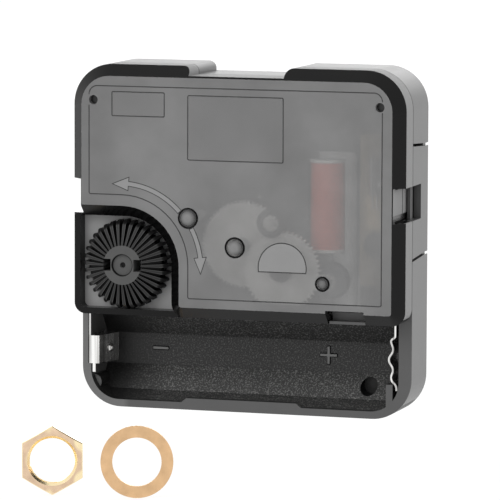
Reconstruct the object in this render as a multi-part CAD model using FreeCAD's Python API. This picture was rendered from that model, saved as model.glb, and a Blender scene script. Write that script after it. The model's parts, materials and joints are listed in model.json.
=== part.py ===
import FreeCAD, Part
import math
import os

# A quartz clock movement, upright as it hangs in a clock and modelled in millimetres.
# X runs to the right as seen from the rear, Z runs up, and Y runs from the rear cover to the dial.
# The origin is on the hand shafts' axis at the dial face. A depth is measured from the dial face
# towards the rear, so a point at depth d has y = -d, and what stands in front of the dial has a
# negative depth.

# Case outline, seen from the rear
CASE_HALF_WIDTH = 28.0
CASE_TOP = 29.0
CASE_BOTTOM = -27.6
CASE_CORNER = 6.6
CREST_HALF_WIDTH = 8.0
CREST_DROP = 1.55
CREST_ROUND = 1.2

# Case walls and levels
CASE_DEPTH = 15.0
RIM_DEPTH = 9.15
WALL = 1.2
DIAL_WALL = 1.2
COVER_WALL = 1.2
COVER_CHAMFER = 1.85
COVER_INNER_CHAMFER = 0.8
COVER_LOW_CORNER = 2.3
OVERRUN = 1.0
TOUCHING = 0.001
RUNNING = 0.05
GAP = 0.2

# Battery bay for one cell of 14.5 by 50.5
CELL_RADIUS = 7.25
BAY_TOP = -11.9
PARTITION = 1.15
BAY_LEFT_WALL = 1.45
BAY_RIGHT_WALL = 2.15
BAY_CORNER = 4.8
BAY_FLAT_TOP = -16.35
BAY_FLAT_BOTTOM = -21.45
BAY_UPPER_FACET_DROP = 4.35
BAY_LOWER_FACET_DROP = 4.75
BAY_LOWER_FACET_RISE = 1.2
BAY_STEEP_FACET_DROP = 1.65
LIP_LEFT = -10.1
LIP_RIGHT = 8.6
LIP_THICK = 0.7
LIP_SLANT = 0.9
LIP_HEIGHT = 1.6
BAY_HOLE_X = 19.1
BAY_HOLE_Z = -23.3
BAY_HOLE_RADIUS = 1.4
BAY_HOLE_FLOOR = 0.6
BAY_BOSS_Z = -23.9
BAY_BOSS_RADIUS = 1.25
BAY_BOSS_DROP = 1.55
RIB_INSET = 4.25
RIB_THICK = 1.1
RIB_TOP = -21.9

# Snap latches in the two side walls, and the small one at the cover's lower edge
LATCH_Z = 7.5
LATCH_HALF = 2.8
LATCH_WINDOW_DROP = 4.95
CATCH_DROP = 3.55
CATCH_HEIGHT = 1.4
CATCH_THICK = 0.5
CATCH_INSET = 1.5
TONGUE_THICK = 1.2
HOOK_HEIGHT = 0.8
HOOK_REACH = 0.45
TONGUE_SIDE_GAP = 0.3
SLIT_WIDTH = 0.45
SLIT_FRONT = 1.6
SLIT_NICK = 0.45
SLIT_UPPER_REAR_Z = 16.95
SLIT_UPPER_FRONT_Z = 16.45
SLIT_LOWER_REAR_Z = -1.75
SLIT_LOWER_FRONT_Z = -1.2
KEEPER_LEFT = 15.2
KEEPER_RIGHT = 21.6
KEEPER_THICK = 1.7
KEEPER_RISE_SHARE = 0.35
KEEPER_LIP = 0.45
KEEPER_LIP_SHARE = 0.68
KEEPER_NOTCH = 2.3

# Wheel axes, seen from the rear: motion wheel, rotor, intermediate wheel, third wheel
MOTION_X = -7.93
MOTION_Z = 4.49
ROTOR_X = 14.72
ROTOR_Z = -5.32
INTER_X = 7.3
INTER_Z = -3.7
THIRD_X = 2.0
THIRD_Z = 7.75
KNOB_DIRECTION = 215.55

# Teeth of each wheel and pinion
SETTING_TEETH = 36
MOTION_TEETH = 40
MOTION_PINION_TEETH = 12
CANNON_TEETH = 10
HOUR_TEETH = 36
CENTRE_TEETH = 64
THIRD_PINION_TEETH = 8
THIRD_TEETH = 60
SECONDS_PINION_TEETH = 8
SECONDS_TEETH = 60
INTER_PINION_TEETH = 10
INTER_TEETH = 50
ROTOR_PINION_TEETH = 10
PINION_LIMIT = 15

# Tooth form, as shares of the tooth pitch (widths) and of the module (heights)
WHEEL_ROOT_SHARE = 0.64
WHEEL_TIP_SHARE = 0.25
WHEEL_ADDENDUM_SHARE = 0.85
PINION_ROOT_SHARE = 0.48
PINION_TIP_SHARE = 0.25
PINION_ADDENDUM_SHARE = 0.75
DEDENDUM_SHARE = 1.15

# Levels of the trains from the dial wall to the cover. Each gap share is the part of the free
# depth that lies in front of the level, and what is left over lies behind the last wheel.
HOUR_THICK = 0.9
SETTING_THICK = 0.9
CENTRE_THICK = 0.65
THIRD_THICK = 0.65
PLATE_THICK = 1.0
SECONDS_THICK = 0.7
INTER_THICK = 0.6
RETAINER_ROOM = 0.95
HOUR_GAP_SHARE = 0.048
SETTING_GAP_SHARE = 0.088
CENTRE_GAP_SHARE = 0.08
PLATE_GAP_SHARE = 0.128
SECONDS_GAP_SHARE = 0.144
INTER_GAP_SHARE = 0.384
PINION_OVERLAP = 0.2

# Hand shafts and their bush
BUSH_RADIUS = 4.0
BUSH_LENGTH = 5.5
BUSH_CHAMFER = 0.4
BUSH_SHOULDER = 0.45
BUSH_FLANGE = 0.5
BUSH_FLANGE_THICK = 0.4
HOUR_TUBE_RADIUS = 2.8
HOUR_SEAT_RADIUS = 2.5
HOUR_SEAT = 2.8
MINUTE_TUBE_RADIUS = 1.6
MINUTE_SEAT = 3.2
MINUTE_FLAT = 1.25
MINUTE_FLAT_LENGTH = 2.6
MINUTE_TAIL_RADIUS = 1.15
MINUTE_RETAINER = 0.2
SECONDS_SHAFT_RADIUS = 0.5
SECONDS_LAND_RADIUS = 0.75
SECONDS_LAND = 2.5
SECONDS_SEAT = 1.8
SEAT_CHAMFER = 0.15

# Arbors and pivots
ARBOR_RADIUS = 0.8
THIN_ARBOR_RADIUS = 0.4
PIVOT_RADIUS = 0.35
PIVOT_LENGTH = 0.6
HUB_WALL = 0.45
PIVOT_BOSS_WALL = 0.8
SECONDS_BOSS_GAP = 1.0
MOTION_BOSS_HEIGHT = 1.2
BLIND_FLOOR = 0.5

# Setting knob, its stem and its pocket in the cover
KNOB_RADIUS = 7.3
KNOB_DISC_RADIUS = 3.2
KNOB_CONE_RADIUS = 6.55
KNOB_CONE_SHARE = 0.31
KNOB_SIDE_SHARE = 0.56
KNOB_GROOVE = 0.85
KNOB_RIBS = 36
KNOB_RIB_SHARE = 0.5
KNOB_RIB_ROUND = 0.3
KNOB_RIB_TIP_SHARE = 0.45
KNOB_RISE = 0.4
KNOB_DIMPLE_RADIUS = 1.72
KNOB_DIMPLE_DEPTH = 0.4
KNOB_CENTRE_RADIUS = 0.47
KNOB_SLOT_WIDTH = 1.95
KNOB_SLOT_INNER = 1.95
KNOB_STEM_RADIUS = 1.6
STEM_ABOVE_GEAR = 1.35
SETTING_HUB_WALL = 0.9
SETTING_PIVOT_RADIUS = 1.0
POCKET_FLOOR_SHARE = 0.29
POCKET_FLOOR = 1.0
POCKET_WALL = 1.0
POCKET_MARGIN = 0.55
POCKET_CORNER = 1.8

# Cover details
DOME_RADIUS = 1.72
SMALL_DOME_RADIUS = 1.24
DOME_HEIGHT_SHARE = 0.34
DOME_RING = 0.28
DOME_RING_DEPTH = 0.25
POST_SIDE_INSET = 3.9
POST_TOP_INSET = 5.75
POST_RADIUS = 1.7
POST_SHOULDER = 0.6
POST_CAP = 0.9
PEG_RADIUS = 0.7
PEG_DROP = 1.0
PILLAR_RADIUS = 1.4
PILLAR_LEFT_X = -9.0
PILLAR_RIGHT_X = 21.5
PILLAR_Z = -8.5

# Middle plate
PLATE_MARGIN = 0.5
PLATE_LEAD_ROOM = 0.85
PLATE_HUB_GAP = 0.25
CUP_RADIUS = 3.6
CUP_WALL = 0.4
CUP_HEIGHT = 1.6
CUP_FLOOR = 0.7

# Step motor: coil, core, stator and rotor
COIL_X = 13.6
COIL_LOW = -0.8
COIL_HIGH = 14.2
COIL_RADIUS = 2.85
BOBBIN_FLANGE = 0.5
BOBBIN_FLANGE_PROUD = 0.2
BOBBIN_WALL = 0.5
CORE_WIDTH = 2.4
CORE_THICK = 0.8
CORE_END = 1.3
STATOR_THICK = 0.8
STATOR_BORE = 3.0
STATOR_GAP = 0.4
STATOR_LEFT = 10.7
STATOR_RIGHT = 18.7
STATOR_BOTTOM = -9.2
STATOR_LEG = 1.4
STATOR_ROUND = 0.8
MAGNET_RADIUS = 2.6
MAGNET_HEIGHT = 2.6

# Circuit board, chip and quartz crystal
BOARD_GAP = 0.6
BOARD_INSET = 3.25
BOARD_LOW = -6.0
BOARD_TOP_INSET = 10.5
BOARD_THICK = 1.0
BOARD_ROUND = 0.5
CHIP_RADIUS = 2.1
CHIP_HEIGHT = 0.9
CHIP_Z = 0.5
CRYSTAL_RADIUS = 1.0
CRYSTAL_LENGTH = 6.0
CRYSTAL_PLACE_SHARE = 0.612
CRYSTAL_SEAM = 0.15
LEAD_RADIUS = 0.18
LEAD_PITCH = 0.7
LEAD_LENGTH = 2.2

# Battery contacts, bent from nickel plated strip
STRIP = 0.3
LEAF_INSET = 1.15
LEAF_RISE = 0.25
LEAF_WIDTH = 1.6
LEAF_SLOPE = 1.5
LEAF_DROP = 5.35
LEAF_STRIP_RISE = 0.8
LEAF_TOP_DROP = 4.1
LEAF_HEIGHT = 4.6
LEAF_BEND = 0.45
LEAF_DIMPLE_RADIUS = 0.75
LEAF_DIMPLE_HEIGHT_SHARE = 0.7
LEAF_DIMPLE_DROP = 3.15
LUG_INSET = 0.7
LUG_WIDTH = 0.5
LUG_LENGTH = 1.4
TAIL_WIDTH = 1.0
TAIL_DROP = 0.2
WAVE_DROP = 0.35
WAVE_WIDTH = 3.8
WAVE_BEND = 1.1
WAVE_NECK_BEND = 0.5
WAVE_LEAD_INSET = 2.85
WAVE_TROUGH_INSET = 3.05
WAVE_HEIGHT = 1.05
WAVE_CREST_SHARES = (0.6, 1.0, 0.65)
WAVE_END_INSET = 2.6
WAVE_FOOT_INSET = 4.1
WAVE_START_DROP = 2.85
WAVE_NECK = 0.5
WAVE_PITCH = 3.15
WAVE_BEHIND_RISE = 4.3
WAVE_END_RISE = 3.5
WAVE_FOOT_RISE = 2.55
WAVE_KNEE_RISE = 1.05

# Nut and washer of the bush, taken off, stood on edge below and beside the case
NUT_ACROSS_FLATS = 10.0
NUT_BORE = 3.75
NUT_THICK = 2.0
NUT_CHAMFER_RADIUS = 4.2
NUT_CORNER_DROP = 0.45
WASHER_RADIUS = 6.0
WASHER_BORE = 4.05
WASHER_THICK = 0.5
STAND_Z = -42.8
NUT_X = -33.15
NUT_DEPTH = 9.7
WASHER_X = -18.9
WASHER_DEPTH = 8.3
LOOSE_TURN = 17.5

# Worked out from the sizes above
SKIRT_DEPTH = CASE_DEPTH - COVER_CHAMFER
COVER_HEIGHT = CASE_DEPTH - RIM_DEPTH
COVER_INNER = CASE_DEPTH - COVER_WALL
INNER_HALF_WIDTH = CASE_HALF_WIDTH - WALL
PARTITION_TOP = BAY_TOP + PARTITION
BAY_BOTTOM = CASE_BOTTOM + WALL
WHEELS_THICK = HOUR_THICK + SETTING_THICK + CENTRE_THICK + THIRD_THICK + SECONDS_THICK + INTER_THICK
LEVEL_ROOM = COVER_INNER - DIAL_WALL - WHEELS_THICK - PLATE_THICK - RETAINER_ROOM
HOUR_FRONT = DIAL_WALL + LEVEL_ROOM * HOUR_GAP_SHARE
SETTING_FRONT = HOUR_FRONT + HOUR_THICK + LEVEL_ROOM * SETTING_GAP_SHARE
SETTING_REAR = SETTING_FRONT + SETTING_THICK
CENTRE_FRONT = SETTING_REAR + LEVEL_ROOM * CENTRE_GAP_SHARE
THIRD_FRONT = CENTRE_FRONT + CENTRE_THICK + RETAINER_ROOM
PLATE_FRONT = THIRD_FRONT + THIRD_THICK + LEVEL_ROOM * PLATE_GAP_SHARE
PLATE_REAR = PLATE_FRONT + PLATE_THICK
SECONDS_FRONT = PLATE_REAR + LEVEL_ROOM * SECONDS_GAP_SHARE
INTER_FRONT = SECONDS_FRONT + SECONDS_THICK + LEVEL_ROOM * INTER_GAP_SHARE
SECONDS_BOSS_DEPTH = SECONDS_FRONT + SECONDS_THICK + SECONDS_BOSS_GAP
MOTION_BOSS_DEPTH = COVER_INNER - MOTION_BOSS_HEIGHT
CUP_DEPTH = PLATE_FRONT - CUP_HEIGHT
KNOB_STEM_DEPTH = SETTING_REAR + STEM_ABOVE_GEAR
POCKET_FLOOR_DEPTH = RIM_DEPTH + COVER_HEIGHT * POCKET_FLOOR_SHARE
POST_X = CASE_HALF_WIDTH - POST_SIDE_INSET
POST_Z = CASE_TOP - POST_TOP_INSET
POST_TOP = COVER_INNER - POST_CAP
PEG_TOP = CASE_DEPTH - PEG_DROP
CATCH_INNER_X = CASE_HALF_WIDTH - CATCH_INSET
CATCH_FRONT = RIM_DEPTH - CATCH_DROP
TONGUE_TIP = CATCH_FRONT - GAP - HOOK_HEIGHT
BOARD_LEFT = STATOR_RIGHT + BOARD_GAP
BOARD_RIGHT = CASE_HALF_WIDTH - BOARD_INSET
BOARD_HIGH = CASE_TOP - BOARD_TOP_INSET
CRYSTAL_LOW = BOARD_LOW + (BOARD_HIGH - BOARD_LOW) * CRYSTAL_PLACE_SHARE
LEAF_OUTER_X = LEAF_INSET - CASE_HALF_WIDTH
LEAF_FRONT = RIM_DEPTH - LEAF_DROP
LEAF_STRIP_FRONT = DIAL_WALL + LEAF_STRIP_RISE
LEAF_HIGH = BAY_TOP - LEAF_TOP_DROP
LEAF_LOW = LEAF_HIGH - LEAF_HEIGHT
LEAF_DIMPLE_DEPTH = RIM_DEPTH - LEAF_DIMPLE_DROP
TAIL_REAR = RIM_DEPTH - TAIL_DROP
WAVE_REAR = RIM_DEPTH - WAVE_DROP
WAVE_FRONT = WAVE_REAR - WAVE_WIDTH
WAVE_LEAD_X = CASE_HALF_WIDTH - WAVE_LEAD_INSET
WAVE_TROUGH_X = CASE_HALF_WIDTH - WAVE_TROUGH_INSET
WAVE_END_X = CASE_HALF_WIDTH - WAVE_END_INSET
WAVE_FOOT_X = CASE_HALF_WIDTH - WAVE_FOOT_INSET
WAVE_START_Z = BAY_TOP - WAVE_START_DROP
SLITS = ((SLIT_UPPER_REAR_Z, SLIT_UPPER_FRONT_Z), (SLIT_LOWER_REAR_Z, SLIT_LOWER_FRONT_Z))
HOUR_TIP = BUSH_LENGTH + HOUR_SEAT
MINUTE_TIP = HOUR_TIP + MINUTE_SEAT
SECONDS_TIP = MINUTE_TIP + SECONDS_SEAT
CENTRE = (0.0, 0.0)
MOTION = (MOTION_X, MOTION_Z)
ROTOR = (ROTOR_X, ROTOR_Z)
INTER = (INTER_X, INTER_Z)
THIRD = (THIRD_X, THIRD_Z)


def vector(x, depth, z):
    return FreeCAD.Vector(x, -depth, z)


def distance(a, b):
    return math.hypot(b[0] - a[0], b[1] - a[1])


def bearing(a, b):
    return math.atan2(b[1] - a[1], b[0] - a[0])


def module_of(a, b, teeth_a, teeth_b):
    """The module that lets two wheels of given teeth mesh on the axes a and b."""
    return 2 * distance(a, b) / (teeth_a + teeth_b)


MOTION_MODULE = module_of(CENTRE, MOTION, CANNON_TEETH, MOTION_TEETH)
HOUR_MODULE = module_of(CENTRE, MOTION, HOUR_TEETH, MOTION_PINION_TEETH)
CENTRE_MODULE = module_of(CENTRE, THIRD, CENTRE_TEETH, THIRD_PINION_TEETH)
THIRD_MODULE = module_of(CENTRE, THIRD, SECONDS_PINION_TEETH, THIRD_TEETH)
SECONDS_MODULE = module_of(CENTRE, INTER, SECONDS_TEETH, INTER_PINION_TEETH)
INTER_MODULE = module_of(INTER, ROTOR, INTER_TEETH, ROTOR_PINION_TEETH)
SETTING_REACH = MOTION_MODULE * (SETTING_TEETH + MOTION_TEETH) / 2
KNOB_X = MOTION_X + SETTING_REACH * math.cos(math.radians(KNOB_DIRECTION))
KNOB_Z = MOTION_Z + SETTING_REACH * math.sin(math.radians(KNOB_DIRECTION))
KNOB = (KNOB_X, KNOB_Z)
POCKET_RADIUS = KNOB_RADIUS + POCKET_MARGIN
POCKET_RIGHT = KNOB_X + POCKET_RADIUS
POCKET_TOP = KNOB_Z + POCKET_RADIUS


# Shape helpers


def rounded_wire(points, place):
    """A closed wire through (a, b, radius) corners, each rounded by its own radius."""
    arcs = []
    count = len(points)
    for i in range(count):
        a, b, radius = points[i]
        before = points[i - 1]
        after = points[(i + 1) % count]
        here = FreeCAD.Vector(a, b, 0)
        u = (FreeCAD.Vector(before[0], before[1], 0) - here).normalize()
        w = (FreeCAD.Vector(after[0], after[1], 0) - here).normalize()
        if radius <= 0:
            arcs.append((here, None, here))
            continue
        half = u.getAngle(w) / 2
        middle = (u + w).normalize()
        centre = here + middle * (radius / math.sin(half))
        reach = radius / math.tan(half)
        arcs.append((here + u * reach, centre - middle * radius, here + w * reach))
    edges = []
    for i in range(count):
        first, top, last = arcs[i]
        if top is not None:
            edges.append(Part.Arc(place(first), place(top), place(last)).toShape())
        start = place(last)
        end = place(arcs[(i + 1) % count][0])
        if (end - start).Length > TOUCHING:
            edges.append(Part.LineSegment(start, end).toShape())
    return Part.Wire(edges)


def rear_view(depth):
    """Places outline points (x, z) in the plane at the given depth."""
    return lambda p: vector(p.x, depth, p.y)


def slab(points, front, rear):
    """A plate with a rounded outline in x and z, between two depths."""
    face = Part.Face(rounded_wire(points, rear_view(rear)))
    return face.extrude(FreeCAD.Vector(0, rear - front, 0))


def side_slab(points, left, right):
    """A bar with a rounded outline in depth and z, between two x values."""
    face = Part.Face(rounded_wire(points, lambda p: vector(left, p.x, p.y)))
    return face.extrude(FreeCAD.Vector(right - left, 0, 0))


def top_slab(points, low, high):
    """A bar with a rounded outline in x and depth, between two z values."""
    face = Part.Face(rounded_wire(points, lambda p: vector(p.x, p.y, low)))
    return face.extrude(FreeCAD.Vector(0, 0, high - low))


def block(left, right, front, rear, low, high):
    return Part.makeBox(right - left, rear - front, high - low, vector(left, rear, low))


def disc(centre, radius, front, rear):
    return Part.makeCylinder(radius, rear - front, vector(centre[0], rear, centre[1]), FreeCAD.Vector(0, 1, 0))


def turned(centre, profile):
    """A solid turned about an axis along Y from (radius, depth) points."""
    points = [vector(centre[0] + radius, depth, centre[1]) for radius, depth in profile]
    face = Part.Face(Part.makePolygon(points + points[:1]))
    return face.revolve(vector(centre[0], 0, centre[1]), FreeCAD.Vector(0, 1, 0), 360)


def mirror_x(shape):
    return shape.mirror(FreeCAD.Vector(0, 0, 0), FreeCAD.Vector(1, 0, 0))


def join(first, *others):
    return first.fuse(list(others)).removeSplitter()


def ribbon(path, thick):
    """The rounded outline of a bent strip that follows (a, b, bend radius) points."""
    left = []
    right = []
    count = len(path)
    for i in range(count):
        here = FreeCAD.Vector(path[i][0], path[i][1], 0)
        ahead = None
        behind = None
        if i + 1 < count:
            ahead = (FreeCAD.Vector(path[i + 1][0], path[i + 1][1], 0) - here).normalize()
        if i > 0:
            behind = (here - FreeCAD.Vector(path[i - 1][0], path[i - 1][1], 0)).normalize()
        if ahead is None:
            ahead = behind
        if behind is None:
            behind = ahead
        normal = (FreeCAD.Vector(-behind.y, behind.x, 0) + FreeCAD.Vector(-ahead.y, ahead.x, 0)).normalize()
        offset = thick / 2 / normal.dot(FreeCAD.Vector(-ahead.y, ahead.x, 0))
        turn = behind.cross(ahead).z
        bend = path[i][2]
        inner = max(bend - thick / 2, 0)
        outer = bend + thick / 2 if bend > 0 else 0
        a = here + normal * offset
        b = here - normal * offset
        left.append((a.x, a.y, inner if turn > 0 else outer))
        right.append((b.x, b.y, outer if turn > 0 else inner))
    return left + right[::-1]


# Gears


def gear(centre, teeth, module, phase, front, rear):
    """A toothed disc with one tooth centred on the angle phase."""
    small = teeth < PINION_LIMIT
    root_share = PINION_ROOT_SHARE if small else WHEEL_ROOT_SHARE
    tip_share = PINION_TIP_SHARE if small else WHEEL_TIP_SHARE
    addendum = PINION_ADDENDUM_SHARE if small else WHEEL_ADDENDUM_SHARE
    pitch_radius = teeth * module / 2
    root = pitch_radius - DEDENDUM_SHARE * module
    tip = pitch_radius + addendum * module
    pitch = 2 * math.pi / teeth
    flank = ((root, -root_share), (tip, -tip_share), (tip, tip_share), (root, root_share))
    points = []
    for i in range(teeth):
        for radius, share in flank:
            angle = phase + (i + share / 2) * pitch
            x = centre[0] + radius * math.cos(angle)
            z = centre[1] + radius * math.sin(angle)
            points.append(vector(x, rear, z))
    face = Part.Face(Part.makePolygon(points + points[:1]))
    return face.extrude(FreeCAD.Vector(0, rear - front, 0))


def mating_phase(a, teeth_a, phase_a, b, teeth_b):
    """The phase of wheel b that puts its teeth in the gaps of wheel a."""
    line = bearing(a, b)
    pitch_a = 2 * math.pi / teeth_a
    offset = (phase_a - line) % pitch_a
    return line + math.pi - offset * teeth_a / teeth_b + math.pi / teeth_b


MOTION_PHASE = bearing(MOTION, CENTRE)
CANNON_PHASE = mating_phase(MOTION, MOTION_TEETH, MOTION_PHASE, CENTRE, CANNON_TEETH)
SETTING_PHASE = mating_phase(MOTION, MOTION_TEETH, MOTION_PHASE, KNOB, SETTING_TEETH)
MOTION_PINION_PHASE = MOTION_PHASE
HOUR_PHASE = mating_phase(MOTION, MOTION_PINION_TEETH, MOTION_PINION_PHASE, CENTRE, HOUR_TEETH)
SECONDS_PHASE = 0.0
SECONDS_PINION_PHASE = 0.0
THIRD_PHASE = mating_phase(CENTRE, SECONDS_PINION_TEETH, SECONDS_PINION_PHASE, THIRD, THIRD_TEETH)
THIRD_PINION_PHASE = THIRD_PHASE
CENTRE_PHASE = mating_phase(THIRD, THIRD_PINION_TEETH, THIRD_PINION_PHASE, CENTRE, CENTRE_TEETH)
INTER_PINION_PHASE = mating_phase(CENTRE, SECONDS_TEETH, SECONDS_PHASE, INTER, INTER_PINION_TEETH)
INTER_PHASE = INTER_PINION_PHASE
ROTOR_PHASE = mating_phase(INTER, INTER_TEETH, INTER_PHASE, ROTOR, ROTOR_PINION_TEETH)


# Case


def case_outline(inset, low, low_corner):
    """The case seen from the rear, drawn in by inset, down to the given z."""
    side = CASE_HALF_WIDTH - inset
    top = CASE_TOP - inset
    corner = CASE_CORNER - inset
    return [
        (-side, low, low_corner),
        (side, low, low_corner),
        (side, top, corner),
        (-side, top, corner),
    ]


def crest_recess():
    """The shallow recess across the top of the case, with rounded shoulders."""
    floor = CASE_TOP - CREST_DROP
    above = CASE_TOP + OVERRUN
    shoulder = CREST_HALF_WIDTH + CREST_ROUND * 2
    return slab(
        [
            (-CREST_HALF_WIDTH, floor, 0),
            (CREST_HALF_WIDTH, floor, 0),
            (CREST_HALF_WIDTH, CASE_TOP, CREST_ROUND),
            (shoulder, CASE_TOP, 0),
            (shoulder, above, 0),
            (-shoulder, above, 0),
            (-shoulder, CASE_TOP, 0),
            (-CREST_HALF_WIDTH, CASE_TOP, CREST_ROUND),
        ],
        -OVERRUN,
        CASE_DEPTH + OVERRUN,
    )


def crest_wall(front, rear):
    """The solid under the crest recess that keeps the wall's thickness there."""
    half = CREST_HALF_WIDTH + WALL
    return block(-half, half, front, rear, CASE_TOP - CREST_DROP - WALL, CASE_TOP - WALL / 2)


def bay_space():
    """The room of the battery bay: a cradle of flat facets with rounded ends."""
    rear = RIM_DEPTH + OVERRUN
    left = -CASE_HALF_WIDTH + BAY_LEFT_WALL
    right = CASE_HALF_WIDTH - BAY_RIGHT_WALL
    cradle = side_slab(
        [
            (rear, BAY_TOP, 0),
            (RIM_DEPTH - BAY_UPPER_FACET_DROP, BAY_TOP, 0),
            (DIAL_WALL, BAY_FLAT_TOP, 0),
            (DIAL_WALL, BAY_FLAT_BOTTOM, 0),
            (RIM_DEPTH - BAY_LOWER_FACET_DROP, BAY_BOTTOM + BAY_LOWER_FACET_RISE, 0),
            (RIM_DEPTH - BAY_STEEP_FACET_DROP, BAY_BOTTOM, 0),
            (rear, BAY_BOTTOM, 0),
        ],
        left,
        right,
    )
    ends = slab(
        [
            (left, BAY_BOTTOM, BAY_CORNER),
            (right, BAY_BOTTOM, BAY_CORNER),
            (right, BAY_TOP, 0),
            (left, BAY_TOP, 0),
        ],
        0,
        rear,
    )
    return cradle.common(ends)


def bay_lip():
    """The snap lip along the middle of the bay's lower wall."""
    inner = BAY_BOTTOM + LIP_THICK
    return slab(
        [
            (LIP_LEFT - LIP_SLANT, BAY_BOTTOM, 0),
            (LIP_RIGHT + LIP_SLANT, BAY_BOTTOM, 0),
            (LIP_RIGHT, inner, 0),
            (LIP_LEFT, inner, 0),
        ],
        RIM_DEPTH - LIP_HEIGHT,
        RIM_DEPTH,
    )


def latch_window():
    """The right side's window for the cover's tongue, open to the rim."""
    window = block(
        INNER_HALF_WIDTH - OVERRUN,
        CASE_HALF_WIDTH + OVERRUN,
        RIM_DEPTH - LATCH_WINDOW_DROP,
        RIM_DEPTH + OVERRUN,
        LATCH_Z - LATCH_HALF,
        LATCH_Z + LATCH_HALF,
    )
    return window


def catch_bar():
    """The bar across the window that the tongue's hook snaps under."""
    return block(
        CATCH_INNER_X,
        CATCH_INNER_X + CATCH_THICK,
        CATCH_FRONT,
        CATCH_FRONT + CATCH_HEIGHT,
        LATCH_Z - LATCH_HALF,
        LATCH_Z + LATCH_HALF,
    )


def flex_slit(rear_z, front_z):
    """A slit through the right wall that lets the latch panel bend outwards."""
    half = SLIT_WIDTH / 2
    return side_slab(
        [
            (RIM_DEPTH + OVERRUN, rear_z - half, 0),
            (SLIT_FRONT, front_z - half, 0),
            (SLIT_FRONT, front_z + half, 0),
            (RIM_DEPTH + OVERRUN, rear_z + half, 0),
        ],
        INNER_HALF_WIDTH - OVERRUN,
        CASE_HALF_WIDTH + OVERRUN,
    )


def slit_nick(front_z):
    """The small nick where a slit reaches the wall's edge at the dial."""
    half = SLIT_WIDTH / 2
    inner = CASE_HALF_WIDTH - SLIT_NICK
    outer = CASE_HALF_WIDTH + OVERRUN
    return block(inner, outer, -OVERRUN, SLIT_FRONT + OVERRUN, front_z - half, front_z + half)


def guide_post():
    """A stepped post: a shoulder for the middle plate and a peg for the cover."""
    centre = (POST_X, POST_Z)
    return join(
        disc(centre, POST_RADIUS + POST_SHOULDER, DIAL_WALL, PLATE_FRONT),
        disc(centre, POST_RADIUS, PLATE_FRONT, POST_TOP),
        disc(centre, PEG_RADIUS, POST_TOP, PEG_TOP),
    )


def both_sides(shape):
    return [shape, mirror_x(shape)]


def keeper(thick, rise_share):
    """A ledge on the partition's rim, in the notch of the cover's lower edge."""
    rear = RIM_DEPTH + COVER_HEIGHT * rise_share
    return block(KEEPER_LEFT + GAP, KEEPER_RIGHT - GAP, RIM_DEPTH, rear, BAY_TOP, BAY_TOP + thick)


def base_case():
    """The front shell: dial wall, side walls, battery bay, posts and catches."""
    rim = RIM_DEPTH
    body = slab(case_outline(0, CASE_BOTTOM, CASE_CORNER), 0, rim)
    chamber = slab(case_outline(WALL, PARTITION_TOP, 0), DIAL_WALL, rim + OVERRUN)
    chamber = chamber.cut(crest_wall(0, rim + OVERRUN * 2))
    cuts = [chamber, bay_space(), crest_recess()]
    cuts += both_sides(latch_window())
    for rear_z, front_z in SLITS:
        cuts += both_sides(flex_slit(rear_z, front_z))
        cuts += both_sides(slit_nick(front_z))
    body = body.cut(cuts)
    additions = both_sides(catch_bar()) + both_sides(guide_post())
    additions.append(bay_lip())
    for x in (PILLAR_LEFT_X, PILLAR_RIGHT_X):
        additions.append(disc((x, PILLAR_Z), PILLAR_RADIUS, DIAL_WALL, PLATE_FRONT))
    rib_left = CASE_HALF_WIDTH - RIB_INSET
    additions.append(block(rib_left, rib_left + RIB_THICK, DIAL_WALL, rim, BAY_BOTTOM, RIB_TOP))
    boss_x = -CASE_HALF_WIDTH + BAY_LEFT_WALL
    additions.append(disc((boss_x, BAY_BOSS_Z), BAY_BOSS_RADIUS, DIAL_WALL, rim - BAY_BOSS_DROP))
    additions.append(keeper(KEEPER_THICK, KEEPER_RISE_SHARE))
    additions.append(keeper(KEEPER_LIP, KEEPER_LIP_SHARE))
    body = body.fuse(additions)
    flange_hole = BUSH_RADIUS + BUSH_SHOULDER + BUSH_FLANGE + RUNNING
    holes = [
        disc((BAY_HOLE_X, BAY_HOLE_Z), BAY_HOLE_RADIUS, BAY_HOLE_FLOOR, rim - BAY_LOWER_FACET_DROP + OVERRUN),
        disc(CENTRE, flange_hole - BUSH_FLANGE, -OVERRUN, DIAL_WALL + OVERRUN),
        disc(CENTRE, flange_hole, DIAL_WALL - BUSH_FLANGE_THICK, DIAL_WALL + OVERRUN),
        disc(MOTION, PIVOT_RADIUS + RUNNING, BLIND_FLOOR, DIAL_WALL + OVERRUN),
        disc(THIRD, PIVOT_RADIUS + RUNNING, BLIND_FLOOR, DIAL_WALL + OVERRUN),
        disc(KNOB, SETTING_PIVOT_RADIUS + RUNNING, BLIND_FLOOR, DIAL_WALL + OVERRUN),
    ]
    holes += contact_slots()
    return body.cut(holes).removeSplitter()


def contact_slots():
    """The recesses and slots that hold the two battery contacts."""
    play = STRIP / 2 + RUNNING
    leaf_left = LEAF_OUTER_X - play
    wall_inner = -CASE_HALF_WIDTH + BAY_LEFT_WALL
    recess = block(
        leaf_left,
        wall_inner + OVERRUN,
        LEAF_STRIP_FRONT - RUNNING,
        RIM_DEPTH + OVERRUN,
        LEAF_LOW - RUNNING,
        LEAF_HIGH + RUNNING,
    )
    tail = block(
        leaf_left,
        LEAF_OUTER_X + play,
        TAIL_REAR - TAIL_WIDTH - RUNNING,
        RIM_DEPTH + OVERRUN,
        LEAF_HIGH,
        PARTITION_TOP + OVERRUN,
    )
    wave = block(
        WAVE_LEAD_X - play,
        WAVE_LEAD_X + play,
        WAVE_FRONT - RUNNING,
        RIM_DEPTH + OVERRUN,
        BAY_TOP - OVERRUN,
        PARTITION_TOP + OVERRUN,
    )
    return [recess, tail, wave]


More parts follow.
